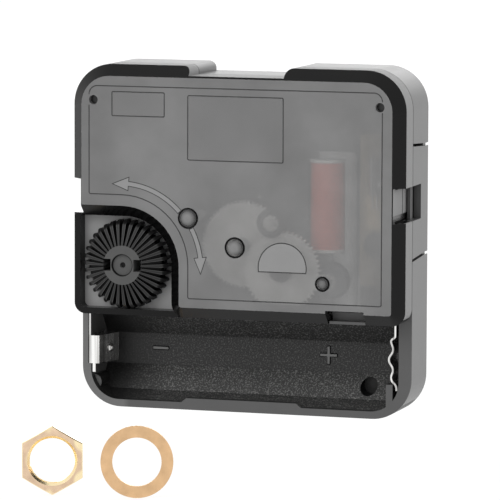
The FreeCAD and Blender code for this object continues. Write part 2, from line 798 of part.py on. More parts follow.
def raised_outline(inset):
    """The cover's raised body: the case outline less the knob's corner pocket."""
    side = CASE_HALF_WIDTH - inset
    low = BAY_TOP + inset
    corner = max(COVER_LOW_CORNER - inset, TOUCHING)
    pocket = [
        (-side, POCKET_TOP + inset, 0),
        (POCKET_RIGHT + inset, POCKET_TOP + inset, POCKET_RADIUS + inset),
        (POCKET_RIGHT + inset, low, corner),
    ]
    return pocket + case_outline(inset, low, corner)[1:]


def edges_at(shape, depth):
    """The edges of a shape that lie in the plane at the given depth."""
    found = []
    for edge in shape.Edges:
        box = edge.BoundBox
        if abs(box.YMin + depth) < TOUCHING and abs(box.YMax + depth) < TOUCHING:
            found.append(edge)
    return found


def raised_body(inset, front, rear, chamfer):
    """A body on the raised outline whose rear edge slopes in all round."""
    body = slab(raised_outline(inset), front, rear)
    return body.makeChamfer(chamfer, edges_at(body, rear))


def pocket_outline(inset, corner):
    """The knob pocket's own outline, out to its left and lower walls."""
    return [
        (-CASE_HALF_WIDTH + inset, BAY_TOP + inset, corner),
        (POCKET_RIGHT + COVER_WALL, BAY_TOP + inset, 0),
        (POCKET_RIGHT + COVER_WALL, POCKET_TOP + COVER_WALL, 0),
        (-CASE_HALF_WIDTH + inset, POCKET_TOP + COVER_WALL, 0),
    ]


def cover_shell():
    """The raised body with its sloping edge, and the knob pocket beside it."""
    raised = raised_body(0, RIM_DEPTH, CASE_DEPTH, COVER_CHAMFER)
    tray = slab(pocket_outline(0, POCKET_CORNER), RIM_DEPTH, SKIRT_DEPTH)
    inner_corner = POCKET_CORNER - POCKET_WALL
    well = slab(pocket_outline(POCKET_WALL, inner_corner), POCKET_FLOOR_DEPTH, SKIRT_DEPTH + OVERRUN)
    tray = tray.cut(well)
    return raised.fuse(tray).cut(crest_recess())


def cover_space():
    """The room inside the cover, under the raised body and under the pocket's floor."""
    open_front = RIM_DEPTH - OVERRUN
    room = raised_body(COVER_WALL, open_front, COVER_INNER, COVER_INNER_CHAMFER)
    room = room.cut(crest_wall(open_front - OVERRUN, CASE_DEPTH))
    under_rear = POCKET_FLOOR_DEPTH - POCKET_FLOOR
    under = slab(pocket_outline(COVER_WALL, POCKET_CORNER - POCKET_WALL), open_front, under_rear)
    return [room, under]


def cover_tongue():
    """The right side's latch tongue with its hook."""
    outer = CATCH_INNER_X - GAP
    low = LATCH_Z - LATCH_HALF + TONGUE_SIDE_GAP
    high = LATCH_Z + LATCH_HALF - TONGUE_SIDE_GAP
    return top_slab(
        [
            (outer - TONGUE_THICK, COVER_INNER, 0),
            (outer - TONGUE_THICK, TONGUE_TIP, 0),
            (outer, TONGUE_TIP, 0),
            (outer + HOOK_REACH, TONGUE_TIP + HOOK_HEIGHT / 2, 0),
            (outer + HOOK_REACH, TONGUE_TIP + HOOK_HEIGHT, 0),
            (outer, TONGUE_TIP + HOOK_HEIGHT, 0),
            (outer, COVER_INNER, 0),
        ],
        low,
        high,
    )


def cover_notch():
    """The right side's notch in the skirt and edge, which shows the tongue."""
    return block(
        CATCH_INNER_X - GAP,
        CASE_HALF_WIDTH + OVERRUN,
        RIM_DEPTH - OVERRUN,
        CASE_DEPTH + OVERRUN,
        LATCH_Z - LATCH_HALF,
        LATCH_Z + LATCH_HALF,
    )


def keeper_notch():
    """The notch in the cover's lower edge that snaps over the base's keeper ledges."""
    return block(
        KEEPER_LEFT,
        KEEPER_RIGHT,
        RIM_DEPTH - OVERRUN,
        CASE_DEPTH + OVERRUN,
        BAY_TOP - OVERRUN,
        BAY_TOP + KEEPER_NOTCH,
    )


def dome(centre, radius):
    """A low dome over a pivot, standing in a narrow ring groove."""
    inner = radius - DOME_RING
    height = inner * DOME_HEIGHT_SHARE
    ball = (inner * inner + height * height) / (2 * height)
    sphere = Part.makeSphere(ball, vector(centre[0], CASE_DEPTH + height - ball, centre[1]))
    cap = sphere.common(disc(centre, inner, CASE_DEPTH - DOME_RING_DEPTH, CASE_DEPTH + height + OVERRUN))
    return cap


def dome_groove(centre, radius):
    outer = disc(centre, radius, CASE_DEPTH - DOME_RING_DEPTH, CASE_DEPTH + OVERRUN)
    inner = disc(centre, radius - DOME_RING, CASE_DEPTH - DOME_RING_DEPTH, CASE_DEPTH + OVERRUN)
    return outer.cut(inner)


def cover_bosses():
    """The bosses inside the cover that carry the rear pivots and meet the posts."""
    seconds = SECONDS_SHAFT_RADIUS + PIVOT_BOSS_WALL
    pivot = PIVOT_RADIUS + PIVOT_BOSS_WALL
    inter_rear = INTER_FRONT + INTER_THICK + PINION_OVERLAP + GAP
    bosses = [
        disc(CENTRE, seconds, SECONDS_BOSS_DEPTH, COVER_INNER),
        disc(MOTION, pivot, MOTION_BOSS_DEPTH, COVER_INNER),
        disc(INTER, pivot, inter_rear, COVER_INNER),
        disc(ROTOR, pivot, inter_rear, COVER_INNER),
    ]
    return bosses + both_sides(disc((POST_X, POST_Z), POST_RADIUS, POST_TOP, COVER_INNER))


def rear_cover():
    """The smoky rear cover: raised body, knob pocket, tongues, domes and pivot bosses."""
    shell = cover_shell().cut(cover_space())
    tongue = cover_tongue()
    shell = shell.fuse(cover_bosses() + both_sides(tongue))
    blind = CASE_DEPTH - BLIND_FLOOR
    cuts = both_sides(cover_notch())
    cuts += both_sides(disc((POST_X, POST_Z), PEG_RADIUS + RUNNING, POST_TOP - OVERRUN, CASE_DEPTH + OVERRUN))
    cuts.append(disc(CENTRE, SECONDS_SHAFT_RADIUS + RUNNING, SECONDS_BOSS_DEPTH - OVERRUN, blind))
    cuts.append(disc(MOTION, PIVOT_RADIUS + RUNNING, MOTION_BOSS_DEPTH - OVERRUN, blind))
    cuts.append(disc(INTER, PIVOT_RADIUS + RUNNING, INTER_FRONT, blind))
    cuts.append(disc(ROTOR, PIVOT_RADIUS + RUNNING, INTER_FRONT, blind))
    cuts.append(disc(KNOB, KNOB_STEM_RADIUS + RUNNING, RIM_DEPTH - OVERRUN, POCKET_FLOOR_DEPTH + OVERRUN))
    cuts.append(keeper_notch())
    for centre, radius in DOMES:
        cuts.append(dome_groove(centre, radius))
    shell = shell.cut(cuts)
    caps = [dome(centre, radius) for centre, radius in DOMES]
    return shell.fuse(caps).removeSplitter()


DOMES = ((CENTRE, DOME_RADIUS), (MOTION, DOME_RADIUS), (ROTOR, SMALL_DOME_RADIUS))


# Hand shafts and bush


def threaded_bush():
    outer = BUSH_RADIUS
    bore = HOUR_TUBE_RADIUS + RUNNING
    return turned(
        CENTRE,
        [
            (bore, DIAL_WALL),
            (outer + BUSH_SHOULDER + BUSH_FLANGE, DIAL_WALL),
            (outer + BUSH_SHOULDER + BUSH_FLANGE, DIAL_WALL - BUSH_FLANGE_THICK),
            (outer + BUSH_SHOULDER, DIAL_WALL - BUSH_FLANGE_THICK),
            (outer + BUSH_SHOULDER, 0),
            (outer, 0),
            (outer, BUSH_CHAMFER - BUSH_LENGTH),
            (outer - BUSH_CHAMFER, -BUSH_LENGTH),
            (bore, -BUSH_LENGTH),
        ],
    )


def hour_wheel():
    rear = HOUR_FRONT + HOUR_THICK
    bore = MINUTE_TUBE_RADIUS + RUNNING
    disc_part = gear(CENTRE, HOUR_TEETH, HOUR_MODULE, HOUR_PHASE, HOUR_FRONT, rear)
    tube = turned(
        CENTRE,
        [
            (bore, rear),
            (HOUR_TUBE_RADIUS, rear),
            (HOUR_TUBE_RADIUS, -BUSH_LENGTH),
            (HOUR_SEAT_RADIUS, -BUSH_LENGTH),
            (HOUR_SEAT_RADIUS, SEAT_CHAMFER - HOUR_TIP),
            (HOUR_SEAT_RADIUS - SEAT_CHAMFER, -HOUR_TIP),
            (bore, -HOUR_TIP),
        ],
    )
    body = disc_part.cut(disc(CENTRE, bore, HOUR_FRONT - OVERRUN, rear + OVERRUN))
    return join(body, tube)


def minute_tube():
    """The tube that carries the minute hand, with its flats and the cannon pinion."""
    bore = SECONDS_LAND_RADIUS + RUNNING
    tail_rear = THIRD_FRONT - PINION_OVERLAP - GAP
    collar = MINUTE_TAIL_RADIUS + MINUTE_RETAINER
    tube = turned(
        CENTRE,
        [
            (bore, tail_rear),
            (collar, tail_rear),
            (collar, tail_rear - MINUTE_RETAINER),
            (MINUTE_TAIL_RADIUS, tail_rear - MINUTE_RETAINER),
            (MINUTE_TAIL_RADIUS, SETTING_FRONT),
            (MINUTE_TUBE_RADIUS, SETTING_FRONT),
            (MINUTE_TUBE_RADIUS, SEAT_CHAMFER - MINUTE_TIP),
            (MINUTE_TUBE_RADIUS - SEAT_CHAMFER, -MINUTE_TIP),
            (bore, -MINUTE_TIP),
        ],
    )
    pinion = gear(CENTRE, CANNON_TEETH, MOTION_MODULE, CANNON_PHASE, SETTING_FRONT, SETTING_REAR)
    pinion = pinion.cut(disc(CENTRE, bore, SETTING_FRONT - OVERRUN, SETTING_REAR + OVERRUN))
    side = MINUTE_TUBE_RADIUS + OVERRUN
    flat = block(MINUTE_FLAT, side, -MINUTE_TIP - OVERRUN, MINUTE_FLAT_LENGTH - MINUTE_TIP, -side, side)
    return join(tube, pinion).cut(both_sides(flat))


def seconds_shaft():
    return turned(
        CENTRE,
        [
            (0, CASE_DEPTH - BLIND_FLOOR - GAP),
            (SECONDS_SHAFT_RADIUS, CASE_DEPTH - BLIND_FLOOR - GAP),
            (SECONDS_SHAFT_RADIUS, SECONDS_LAND - MINUTE_TIP),
            (SECONDS_LAND_RADIUS, SECONDS_LAND - MINUTE_TIP),
            (SECONDS_LAND_RADIUS, -MINUTE_TIP),
            (SECONDS_SHAFT_RADIUS, -MINUTE_TIP),
            (SECONDS_SHAFT_RADIUS, SEAT_CHAMFER - SECONDS_TIP),
            (SECONDS_SHAFT_RADIUS - SEAT_CHAMFER, -SECONDS_TIP),
            (0, -SECONDS_TIP),
        ],
    )


# Wheels of the trains


def motion_wheel():
    wheel = gear(MOTION, MOTION_TEETH, MOTION_MODULE, MOTION_PHASE, SETTING_FRONT, SETTING_REAR)
    pinion_front = HOUR_FRONT - GAP / 2
    pinion = gear(MOTION, MOTION_PINION_TEETH, HOUR_MODULE, MOTION_PINION_PHASE, pinion_front, SETTING_FRONT)
    arbor = join(
        disc(MOTION, ARBOR_RADIUS, SETTING_REAR, MOTION_BOSS_DEPTH - GAP),
        disc(MOTION, PIVOT_RADIUS, MOTION_BOSS_DEPTH - GAP, MOTION_BOSS_DEPTH + PIVOT_LENGTH),
    )
    front_pivot = disc(MOTION, PIVOT_RADIUS, DIAL_WALL - PIVOT_LENGTH, pinion_front)
    return join(wheel, pinion, arbor, front_pivot)


def centre_wheel():
    rear = CENTRE_FRONT + CENTRE_THICK
    bore = MINUTE_TAIL_RADIUS + RUNNING
    hub = bore + HUB_WALL
    wheel = gear(CENTRE, CENTRE_TEETH, CENTRE_MODULE, CENTRE_PHASE, CENTRE_FRONT, rear)
    collar = disc(CENTRE, hub, CENTRE_FRONT - PINION_OVERLAP, rear + GAP)
    hole = disc(CENTRE, bore, CENTRE_FRONT - OVERRUN, rear + OVERRUN)
    return join(wheel, collar).cut(hole)


def third_wheel():
    rear = THIRD_FRONT + THIRD_THICK
    pinion_front = CENTRE_FRONT - PINION_OVERLAP
    wheel = gear(THIRD, THIRD_TEETH, THIRD_MODULE, THIRD_PHASE, THIRD_FRONT, rear)
    pinion = gear(THIRD, THIRD_PINION_TEETH, CENTRE_MODULE, THIRD_PINION_PHASE, pinion_front, THIRD_FRONT)
    arbor = disc(THIRD, THIN_ARBOR_RADIUS, DIAL_WALL + GAP, PLATE_FRONT - GAP)
    pivots = disc(THIRD, PIVOT_RADIUS, DIAL_WALL - PIVOT_LENGTH, PLATE_FRONT + PIVOT_LENGTH)
    return join(wheel, pinion, arbor, pivots)


def seconds_wheel():
    rear = SECONDS_FRONT + SECONDS_THICK
    bore = SECONDS_SHAFT_RADIUS
    pinion_front = THIRD_FRONT - PINION_OVERLAP
    pinion_rear = THIRD_FRONT + THIRD_THICK + PINION_OVERLAP
    hub = bore + HUB_WALL
    wheel = gear(CENTRE, SECONDS_TEETH, SECONDS_MODULE, SECONDS_PHASE, SECONDS_FRONT, rear)
    pinion = gear(CENTRE, SECONDS_PINION_TEETH, THIRD_MODULE, SECONDS_PINION_PHASE, pinion_front, pinion_rear)
    neck = disc(CENTRE, hub, pinion_rear, rear + GAP)
    hole = disc(CENTRE, bore, pinion_front - OVERRUN, rear + OVERRUN)
    return join(wheel, pinion, neck).cut(hole)


def intermediate_wheel():
    rear = INTER_FRONT + INTER_THICK
    pinion_front = SECONDS_FRONT - PINION_OVERLAP
    pinion_rear = SECONDS_FRONT + SECONDS_THICK + PINION_OVERLAP
    wheel = gear(INTER, INTER_TEETH, INTER_MODULE, INTER_PHASE, INTER_FRONT, rear)
    pinion = gear(INTER, INTER_PINION_TEETH, SECONDS_MODULE, INTER_PINION_PHASE, pinion_front, pinion_rear)
    neck = disc(INTER, ARBOR_RADIUS, pinion_rear, rear + PINION_OVERLAP)
    pivots = disc(INTER, PIVOT_RADIUS, PLATE_REAR - PIVOT_LENGTH, rear + PINION_OVERLAP + GAP + PIVOT_LENGTH)
    shoulder = disc(INTER, THIN_ARBOR_RADIUS + RUNNING, PLATE_REAR + GAP, pinion_front)
    return join(wheel, pinion, neck, pivots, shoulder)


def magnet_front():
    return PLATE_REAR + STATOR_THICK / 2 - MAGNET_HEIGHT / 2


def rotor_magnet():
    ring = disc(ROTOR, MAGNET_RADIUS, magnet_front(), magnet_front() + MAGNET_HEIGHT)
    return ring.cut(disc(ROTOR, ARBOR_RADIUS, magnet_front() - OVERRUN, PLATE_REAR + MAGNET_HEIGHT))


def rotor_pinion():
    """The rotor's moulded arbor: front pivot, magnet seat, pinion and rear pivot."""
    front = magnet_front()
    pinion_front = INTER_FRONT - PINION_OVERLAP
    pinion_rear = INTER_FRONT + INTER_THICK + PINION_OVERLAP
    cup_floor = CUP_DEPTH + CUP_FLOOR
    arbor = disc(ROTOR, ARBOR_RADIUS, cup_floor + GAP, front + MAGNET_HEIGHT)
    neck = disc(ROTOR, THIN_ARBOR_RADIUS + HUB_WALL, front + MAGNET_HEIGHT, pinion_front)
    pinion = gear(ROTOR, ROTOR_PINION_TEETH, INTER_MODULE, ROTOR_PHASE, pinion_front, pinion_rear)
    pivots = disc(ROTOR, PIVOT_RADIUS, CUP_DEPTH + GAP, pinion_rear + GAP + PIVOT_LENGTH)
    return join(arbor, neck, pinion, pivots)


def setting_gear():
    """The gear inside the case that the knob turns, with a hub for the knob's stem."""
    hub = KNOB_STEM_RADIUS + SETTING_HUB_WALL
    hub_rear = POCKET_FLOOR_DEPTH - POCKET_FLOOR - GAP
    wheel = gear(KNOB, SETTING_TEETH, MOTION_MODULE, SETTING_PHASE, SETTING_FRONT, SETTING_REAR)
    sleeve = disc(KNOB, hub, SETTING_FRONT, hub_rear)
    pivot = disc(KNOB, SETTING_PIVOT_RADIUS, DIAL_WALL - PIVOT_LENGTH, SETTING_FRONT)
    shoulder = disc(KNOB, hub, DIAL_WALL + GAP, SETTING_FRONT)
    socket = disc(KNOB, KNOB_STEM_RADIUS, KNOB_STEM_DEPTH, hub_rear + OVERRUN)
    return join(wheel, sleeve, pivot, shoulder).cut(socket)


def knob_profile(shrink):
    """The knob's turned outline, drawn in by shrink for the core under the ribs."""
    face = CASE_DEPTH
    under = POCKET_FLOOR_DEPTH + KNOB_RISE
    disc_edge = KNOB_DISC_RADIUS
    cone_depth = face - (face - under) * KNOB_CONE_SHARE
    side_depth = face - (face - under) * KNOB_SIDE_SHARE
    return [
        (0, under),
        (KNOB_RADIUS - shrink, under),
        (KNOB_RADIUS - shrink, side_depth - shrink / 2),
        (KNOB_CONE_RADIUS - shrink / 2, cone_depth - shrink),
        (disc_edge, face - shrink / 2),
        (0, face - shrink / 2),
    ]


def setting_knob():
    """The ribbed knob: a core with radial ribs, a flat disc and a stem."""
    full = turned(KNOB, knob_profile(0))
    core = turned(KNOB, knob_profile(KNOB_GROOVE))
    face_disc = disc(KNOB, KNOB_DISC_RADIUS, CASE_DEPTH - KNOB_GROOVE, CASE_DEPTH)
    step = 2 * math.pi / KNOB_RIBS
    half = step * KNOB_RIB_SHARE / 2
    tip = half * KNOB_RIB_TIP_SHARE
    shoulder = KNOB_RADIUS - KNOB_RIB_ROUND
    end = ((shoulder, -half), (KNOB_RADIUS, -tip), (KNOB_RADIUS, tip), (shoulder, half))
    wedges = []
    for i in range(KNOB_RIBS):
        points = [vector(KNOB_X, CASE_DEPTH + OVERRUN, KNOB_Z)]
        for radius, turn in end:
            x = KNOB_X + radius * math.cos(i * step + turn)
            z = KNOB_Z + radius * math.sin(i * step + turn)
            points.append(vector(x, CASE_DEPTH + OVERRUN, z))
        wedge = Part.Face(Part.makePolygon(points + points[:1]))
        wedges.append(wedge.extrude(FreeCAD.Vector(0, CASE_DEPTH + OVERRUN - POCKET_FLOOR_DEPTH, 0)))
    outer_ring = full.cut(disc(KNOB, KNOB_DISC_RADIUS, POCKET_FLOOR_DEPTH, CASE_DEPTH + OVERRUN))
    ribs = [outer_ring.common(wedge) for wedge in wedges]
    stem = disc(KNOB, KNOB_STEM_RADIUS, KNOB_STEM_DEPTH, POCKET_FLOOR_DEPTH + KNOB_RISE)
    body = core.fuse([face_disc, stem] + ribs)
    dimple_floor = CASE_DEPTH - KNOB_DIMPLE_DEPTH
    cuts = [
        disc(KNOB, KNOB_DIMPLE_RADIUS, dimple_floor, CASE_DEPTH + OVERRUN),
        disc(KNOB, KNOB_CENTRE_RADIUS, dimple_floor - KNOB_DIMPLE_DEPTH, CASE_DEPTH + OVERRUN),
    ]
    slot_front = POCKET_FLOOR_DEPTH + KNOB_RISE
    slot_half = KNOB_SLOT_WIDTH / 2
    for low, high in ((KNOB_SLOT_INNER, KNOB_DISC_RADIUS), (-KNOB_DISC_RADIUS, -KNOB_SLOT_INNER)):
        slot = block(low, high, slot_front - OVERRUN, CASE_DEPTH + OVERRUN, -slot_half, slot_half)
        slot.translate(FreeCAD.Vector(KNOB_X, 0, KNOB_Z))
        cuts.append(slot)
    return body.cut(cuts).removeSplitter()


# Middle plate, motor and circuit


def middle_plate():
    """The plate that carries the train's inner pivots, the motor and the board."""
    inset = WALL + PLATE_MARGIN
    outline = case_outline(inset, PARTITION_TOP + PLATE_LEAD_ROOM, PLATE_MARGIN)
    plate = slab(outline, PLATE_FRONT, PLATE_REAR)
    plate = plate.cut(crest_wall(PLATE_FRONT - OVERRUN, PLATE_REAR + OVERRUN))
    cup = disc(ROTOR, CUP_RADIUS, CUP_DEPTH, PLATE_FRONT)
    plate = plate.fuse(cup)
    window = COIL_RADIUS + BOBBIN_FLANGE_PROUD + GAP
    core_half = CORE_WIDTH / 2 + GAP
    core_low = COIL_LOW - CORE_END - GAP
    core_high = COIL_HIGH + CORE_END + GAP
    deep = PLATE_FRONT - OVERRUN
    high = PLATE_REAR + OVERRUN
    cuts = [
        block(COIL_X - window, COIL_X + window, deep, high, COIL_LOW - GAP, COIL_HIGH + GAP),
        block(COIL_X - core_half, COIL_X + core_half, PLATE_REAR - CORE_THICK, high, core_low, core_high),
        disc(ROTOR, CUP_RADIUS - CUP_WALL, CUP_DEPTH + CUP_FLOOR, PLATE_REAR + OVERRUN),
        disc(ROTOR, PIVOT_RADIUS + RUNNING, CUP_DEPTH - OVERRUN, PLATE_REAR),
        disc(CENTRE, SECONDS_SHAFT_RADIUS + HUB_WALL + PLATE_HUB_GAP, PLATE_FRONT - OVERRUN, PLATE_REAR + OVERRUN),
        disc(MOTION, ARBOR_RADIUS + PLATE_HUB_GAP, PLATE_FRONT - OVERRUN, PLATE_REAR + OVERRUN),
        disc(THIRD, PIVOT_RADIUS + RUNNING, PLATE_FRONT - OVERRUN, PLATE_REAR + OVERRUN),
        disc(INTER, PIVOT_RADIUS + RUNNING, PLATE_FRONT - OVERRUN, PLATE_REAR + OVERRUN),
        disc(KNOB, KNOB_STEM_RADIUS + SETTING_HUB_WALL + PLATE_HUB_GAP, PLATE_FRONT - OVERRUN, PLATE_REAR + OVERRUN),
    ]
    cuts += both_sides(disc((POST_X, POST_Z), POST_RADIUS, PLATE_FRONT - OVERRUN, PLATE_REAR + OVERRUN))
    tongue_inner = CATCH_INNER_X - GAP - TONGUE_THICK - GAP
    cuts += both_sides(
        block(
            tongue_inner,
            CASE_HALF_WIDTH,
            PLATE_FRONT - OVERRUN,
            PLATE_REAR + OVERRUN,
            LATCH_Z - LATCH_HALF,
            LATCH_Z + LATCH_HALF,
        )
    )
    lead = STRIP / 2 + GAP
    lead_top = BOARD_LOW + BOARD_ROUND + OVERRUN + GAP
    cuts.append(block(BOARD_LEFT - STRIP - GAP, BOARD_LEFT + GAP, deep, high, PARTITION_TOP, lead_top))
    cuts.append(
        block(
            WAVE_FOOT_X - lead,
            CASE_HALF_WIDTH,
            PLATE_FRONT - OVERRUN,
            PLATE_REAR + OVERRUN,
            PARTITION_TOP,
            BOARD_LOW,
        )
    )
    return plate.cut(cuts).removeSplitter()


def stator_rear():
    return PLATE_REAR + STATOR_THICK


def coil_disc(radius, low, high):
    """A disc or cylinder on the coil's axis, which runs up the case."""
    middle = PLATE_REAR - CORE_THICK / 2
    return Part.makeCylinder(radius, high - low, vector(COIL_X, middle, low), FreeCAD.Vector(0, 0, 1))


def core_bar(grow, low, high):
    """The flat bar along the coil's middle, grown by the given amount."""
    half = CORE_WIDTH / 2 + grow
    return block(COIL_X - half, COIL_X + half, PLATE_REAR - CORE_THICK - grow, PLATE_REAR + grow, low, high)


def coil_bobbin():
    flange = COIL_RADIUS + BOBBIN_FLANGE_PROUD
    low_flange = coil_disc(flange, COIL_LOW, COIL_LOW + BOBBIN_FLANGE)
    high_flange = coil_disc(flange, COIL_HIGH - BOBBIN_FLANGE, COIL_HIGH)
    tube = core_bar(BOBBIN_WALL, COIL_LOW, COIL_HIGH)
    return join(tube, low_flange, high_flange).cut(core_bar(0, COIL_LOW - OVERRUN, COIL_HIGH + OVERRUN))


def coil_winding():
    low = COIL_LOW + BOBBIN_FLANGE
    high = COIL_HIGH - BOBBIN_FLANGE
    return coil_disc(COIL_RADIUS, low, high).cut(core_bar(BOBBIN_WALL, low, high))


def coil_core():
    return core_bar(0, COIL_LOW - CORE_END, COIL_HIGH + CORE_END)


def stator_bore():
    return disc(ROTOR, STATOR_BORE, PLATE_REAR - OVERRUN, stator_rear() + OVERRUN)


def stator_short():
    """The plate from the coil's lower end round the left of the rotor."""
    top = COIL_LOW - GAP / 2
    plate = slab(
        [
            (STATOR_LEFT, STATOR_BOTTOM, STATOR_ROUND),
            (ROTOR_X - STATOR_GAP / 2, STATOR_BOTTOM, 0),
            (ROTOR_X - STATOR_GAP / 2, top, 0),
            (STATOR_LEFT, top, STATOR_ROUND),
        ],
        PLATE_REAR,
        stator_rear(),
    )
    return plate.cut(stator_bore())


def stator_long():
    """The plate from the coil's upper end down its right side and round the rotor."""
    inner = COIL_X + COIL_RADIUS + BOBBIN_FLANGE_PROUD + GAP / 2
    top = COIL_HIGH + CORE_END
    plate = slab(
        [
            (ROTOR_X + STATOR_GAP / 2, STATOR_BOTTOM, 0),
            (STATOR_RIGHT, STATOR_BOTTOM, STATOR_ROUND),
            (STATOR_RIGHT, top, STATOR_ROUND),
            (COIL_X - CORE_WIDTH / 2, top, 0),
            (COIL_X - CORE_WIDTH / 2, COIL_HIGH + GAP / 2, 0),
            (inner, COIL_HIGH + GAP / 2, 0),
            (inner, COIL_LOW - GAP / 2, 0),
            (ROTOR_X + STATOR_GAP / 2, COIL_LOW - GAP / 2, 0),
        ],
        PLATE_REAR,
        stator_rear(),
    )
    return plate.cut(stator_bore())


def circuit_board():
    return slab(
        [
            (BOARD_LEFT, BOARD_LOW, BOARD_ROUND),
            (BOARD_RIGHT, BOARD_LOW, BOARD_ROUND),
            (BOARD_RIGHT, BOARD_HIGH, BOARD_ROUND),
            (BOARD_LEFT, BOARD_HIGH, BOARD_ROUND),
        ],
        PLATE_REAR,
        PLATE_REAR + BOARD_THICK,
    )


def board_middle():
    return (BOARD_LEFT + BOARD_RIGHT) / 2


def chip_drop():
    """The dark resin drop over the chip."""
    top = PLATE_REAR + BOARD_THICK
    ball = (CHIP_RADIUS * CHIP_RADIUS + CHIP_HEIGHT * CHIP_HEIGHT) / (2 * CHIP_HEIGHT)
    sphere = Part.makeSphere(ball, vector(board_middle(), top + CHIP_HEIGHT - ball, CHIP_Z))
    return sphere.common(disc((board_middle(), CHIP_Z), CHIP_RADIUS, top, top + CHIP_HEIGHT + OVERRUN))


def quartz_crystal():
    """The crystal's can, lying on the board with its two leads."""
    depth = PLATE_REAR + BOARD_THICK + CRYSTAL_RADIUS
    up = FreeCAD.Vector(0, 0, 1)
    can = Part.makeCylinder(CRYSTAL_RADIUS, CRYSTAL_LENGTH, vector(board_middle(), depth, CRYSTAL_LOW), up)
    seam = Part.makeCylinder(
        CRYSTAL_RADIUS - CRYSTAL_SEAM, CRYSTAL_SEAM * 2, vector(board_middle(), depth, CRYSTAL_LOW - CRYSTAL_SEAM), up
    )
    leads = []
    for side in (-LEAD_PITCH / 2, LEAD_PITCH / 2):
        start = vector(board_middle() + side, depth, CRYSTAL_LOW - LEAD_LENGTH)
        leads.append(Part.makeCylinder(LEAD_RADIUS, LEAD_LENGTH, start, up))
        foot = vector(board_middle() + side, depth + LEAD_RADIUS, CRYSTAL_LOW - LEAD_LENGTH)
        leads.append(Part.makeCylinder(LEAD_RADIUS, CRYSTAL_RADIUS + LEAD_RADIUS, foot, FreeCAD.Vector(0, 1, 0)))
    return join(can, seam, *leads)


# Battery contacts


def leaf_bend_x():
    return LEAF_OUTER_X + LEAF_WIDTH


def negative_contact():
    """A folded leaf with a dimple, and its tail that leads up to the board."""
    fold = RIM_DEPTH + LEAF_RISE
    path = [
        (LEAF_OUTER_X, LEAF_STRIP_FRONT, 0),
        (LEAF_OUTER_X, fold, LEAF_BEND),
        (leaf_bend_x(), fold, LEAF_BEND),
        (leaf_bend_x() + LEAF_SLOPE, LEAF_FRONT, 0),
    ]
    leaf = top_slab(ribbon(path, STRIP), LEAF_LOW, LEAF_HIGH)
    share = (fold - LEAF_DIMPLE_DEPTH) / (fold - LEAF_FRONT)
    dimple_x = leaf_bend_x() + LEAF_SLOPE * share + STRIP / 2
    dimple_z = (LEAF_LOW + LEAF_HIGH) / 2
    height = LEAF_DIMPLE_RADIUS * LEAF_DIMPLE_HEIGHT_SHARE
    ball = (LEAF_DIMPLE_RADIUS ** 2 + height * height) / (2 * height)
    sphere = Part.makeSphere(ball, vector(dimple_x + height - ball, LEAF_DIMPLE_DEPTH, dimple_z))
    keep = block(
        dimple_x - STRIP / 2,
        dimple_x + ball,
        LEAF_DIMPLE_DEPTH - ball,
        LEAF_DIMPLE_DEPTH + ball,
        dimple_z - ball,
        dimple_z + ball,
    )
    dimple = sphere.common(keep)
    strip_half = STRIP / 2
    lug_left = LEAF_OUTER_X + LUG_INSET
    lug = block(
        lug_left,
        lug_left + LUG_WIDTH,
        fold - strip_half,
        fold + strip_half,
        LEAF_LOW - LUG_LENGTH,
        LEAF_LOW + STRIP,
    )
    tail_front = TAIL_REAR - TAIL_WIDTH
    run_z = PARTITION_TOP + strip_half
    tail = [
        (LEAF_OUTER_X, LEAF_HIGH - OVERRUN, 0),
        (LEAF_OUTER_X, run_z, LEAF_BEND),
        (BOARD_LEFT - strip_half, run_z, LEAF_BEND),
        (BOARD_LEFT - strip_half, BOARD_LOW + BOARD_ROUND + OVERRUN, 0),
    ]
    lead = slab(ribbon(tail, STRIP), tail_front, TAIL_REAR)
    return join(leaf, dimple, lug, lead)


def positive_contact():
    """A waved strip behind the right wall, with its lead up to the board."""
    path = [
        (WAVE_FOOT_X, BOARD_LOW, 0),
        (WAVE_FOOT_X, PARTITION_TOP + WAVE_FOOT_RISE, WAVE_BEND),
        (WAVE_LEAD_X, PARTITION_TOP + WAVE_KNEE_RISE, WAVE_BEND),
        (WAVE_LEAD_X, WAVE_START_Z + WAVE_NECK, WAVE_NECK_BEND),
    ]
    bend = WAVE_NECK_BEND
    for i, share in enumerate(WAVE_CREST_SHARES):
        z = WAVE_START_Z - i * WAVE_PITCH
        if i > 0:
            path.append((WAVE_TROUGH_X, z + WAVE_PITCH / 2, bend))
        path.append((WAVE_TROUGH_X - WAVE_HEIGHT * share, z, bend))
        bend = WAVE_BEND
    path.append((WAVE_END_X, BAY_BOTTOM + WAVE_BEHIND_RISE, WAVE_BEND))
    path.append((WAVE_END_X, BAY_BOTTOM + WAVE_END_RISE, 0))
    return slab(ribbon(path, STRIP), WAVE_FRONT, WAVE_REAR)


# Nut and washer


def stood_up(shape, x, depth, radius):
    """Stands a disc-like piece on edge at the given place, turned a little to the right."""
    shape.rotate(FreeCAD.Vector(0, 0, 0), FreeCAD.Vector(0, 0, 1), LOOSE_TURN)
    shape.translate(vector(x, depth, STAND_Z + radius))
    return shape


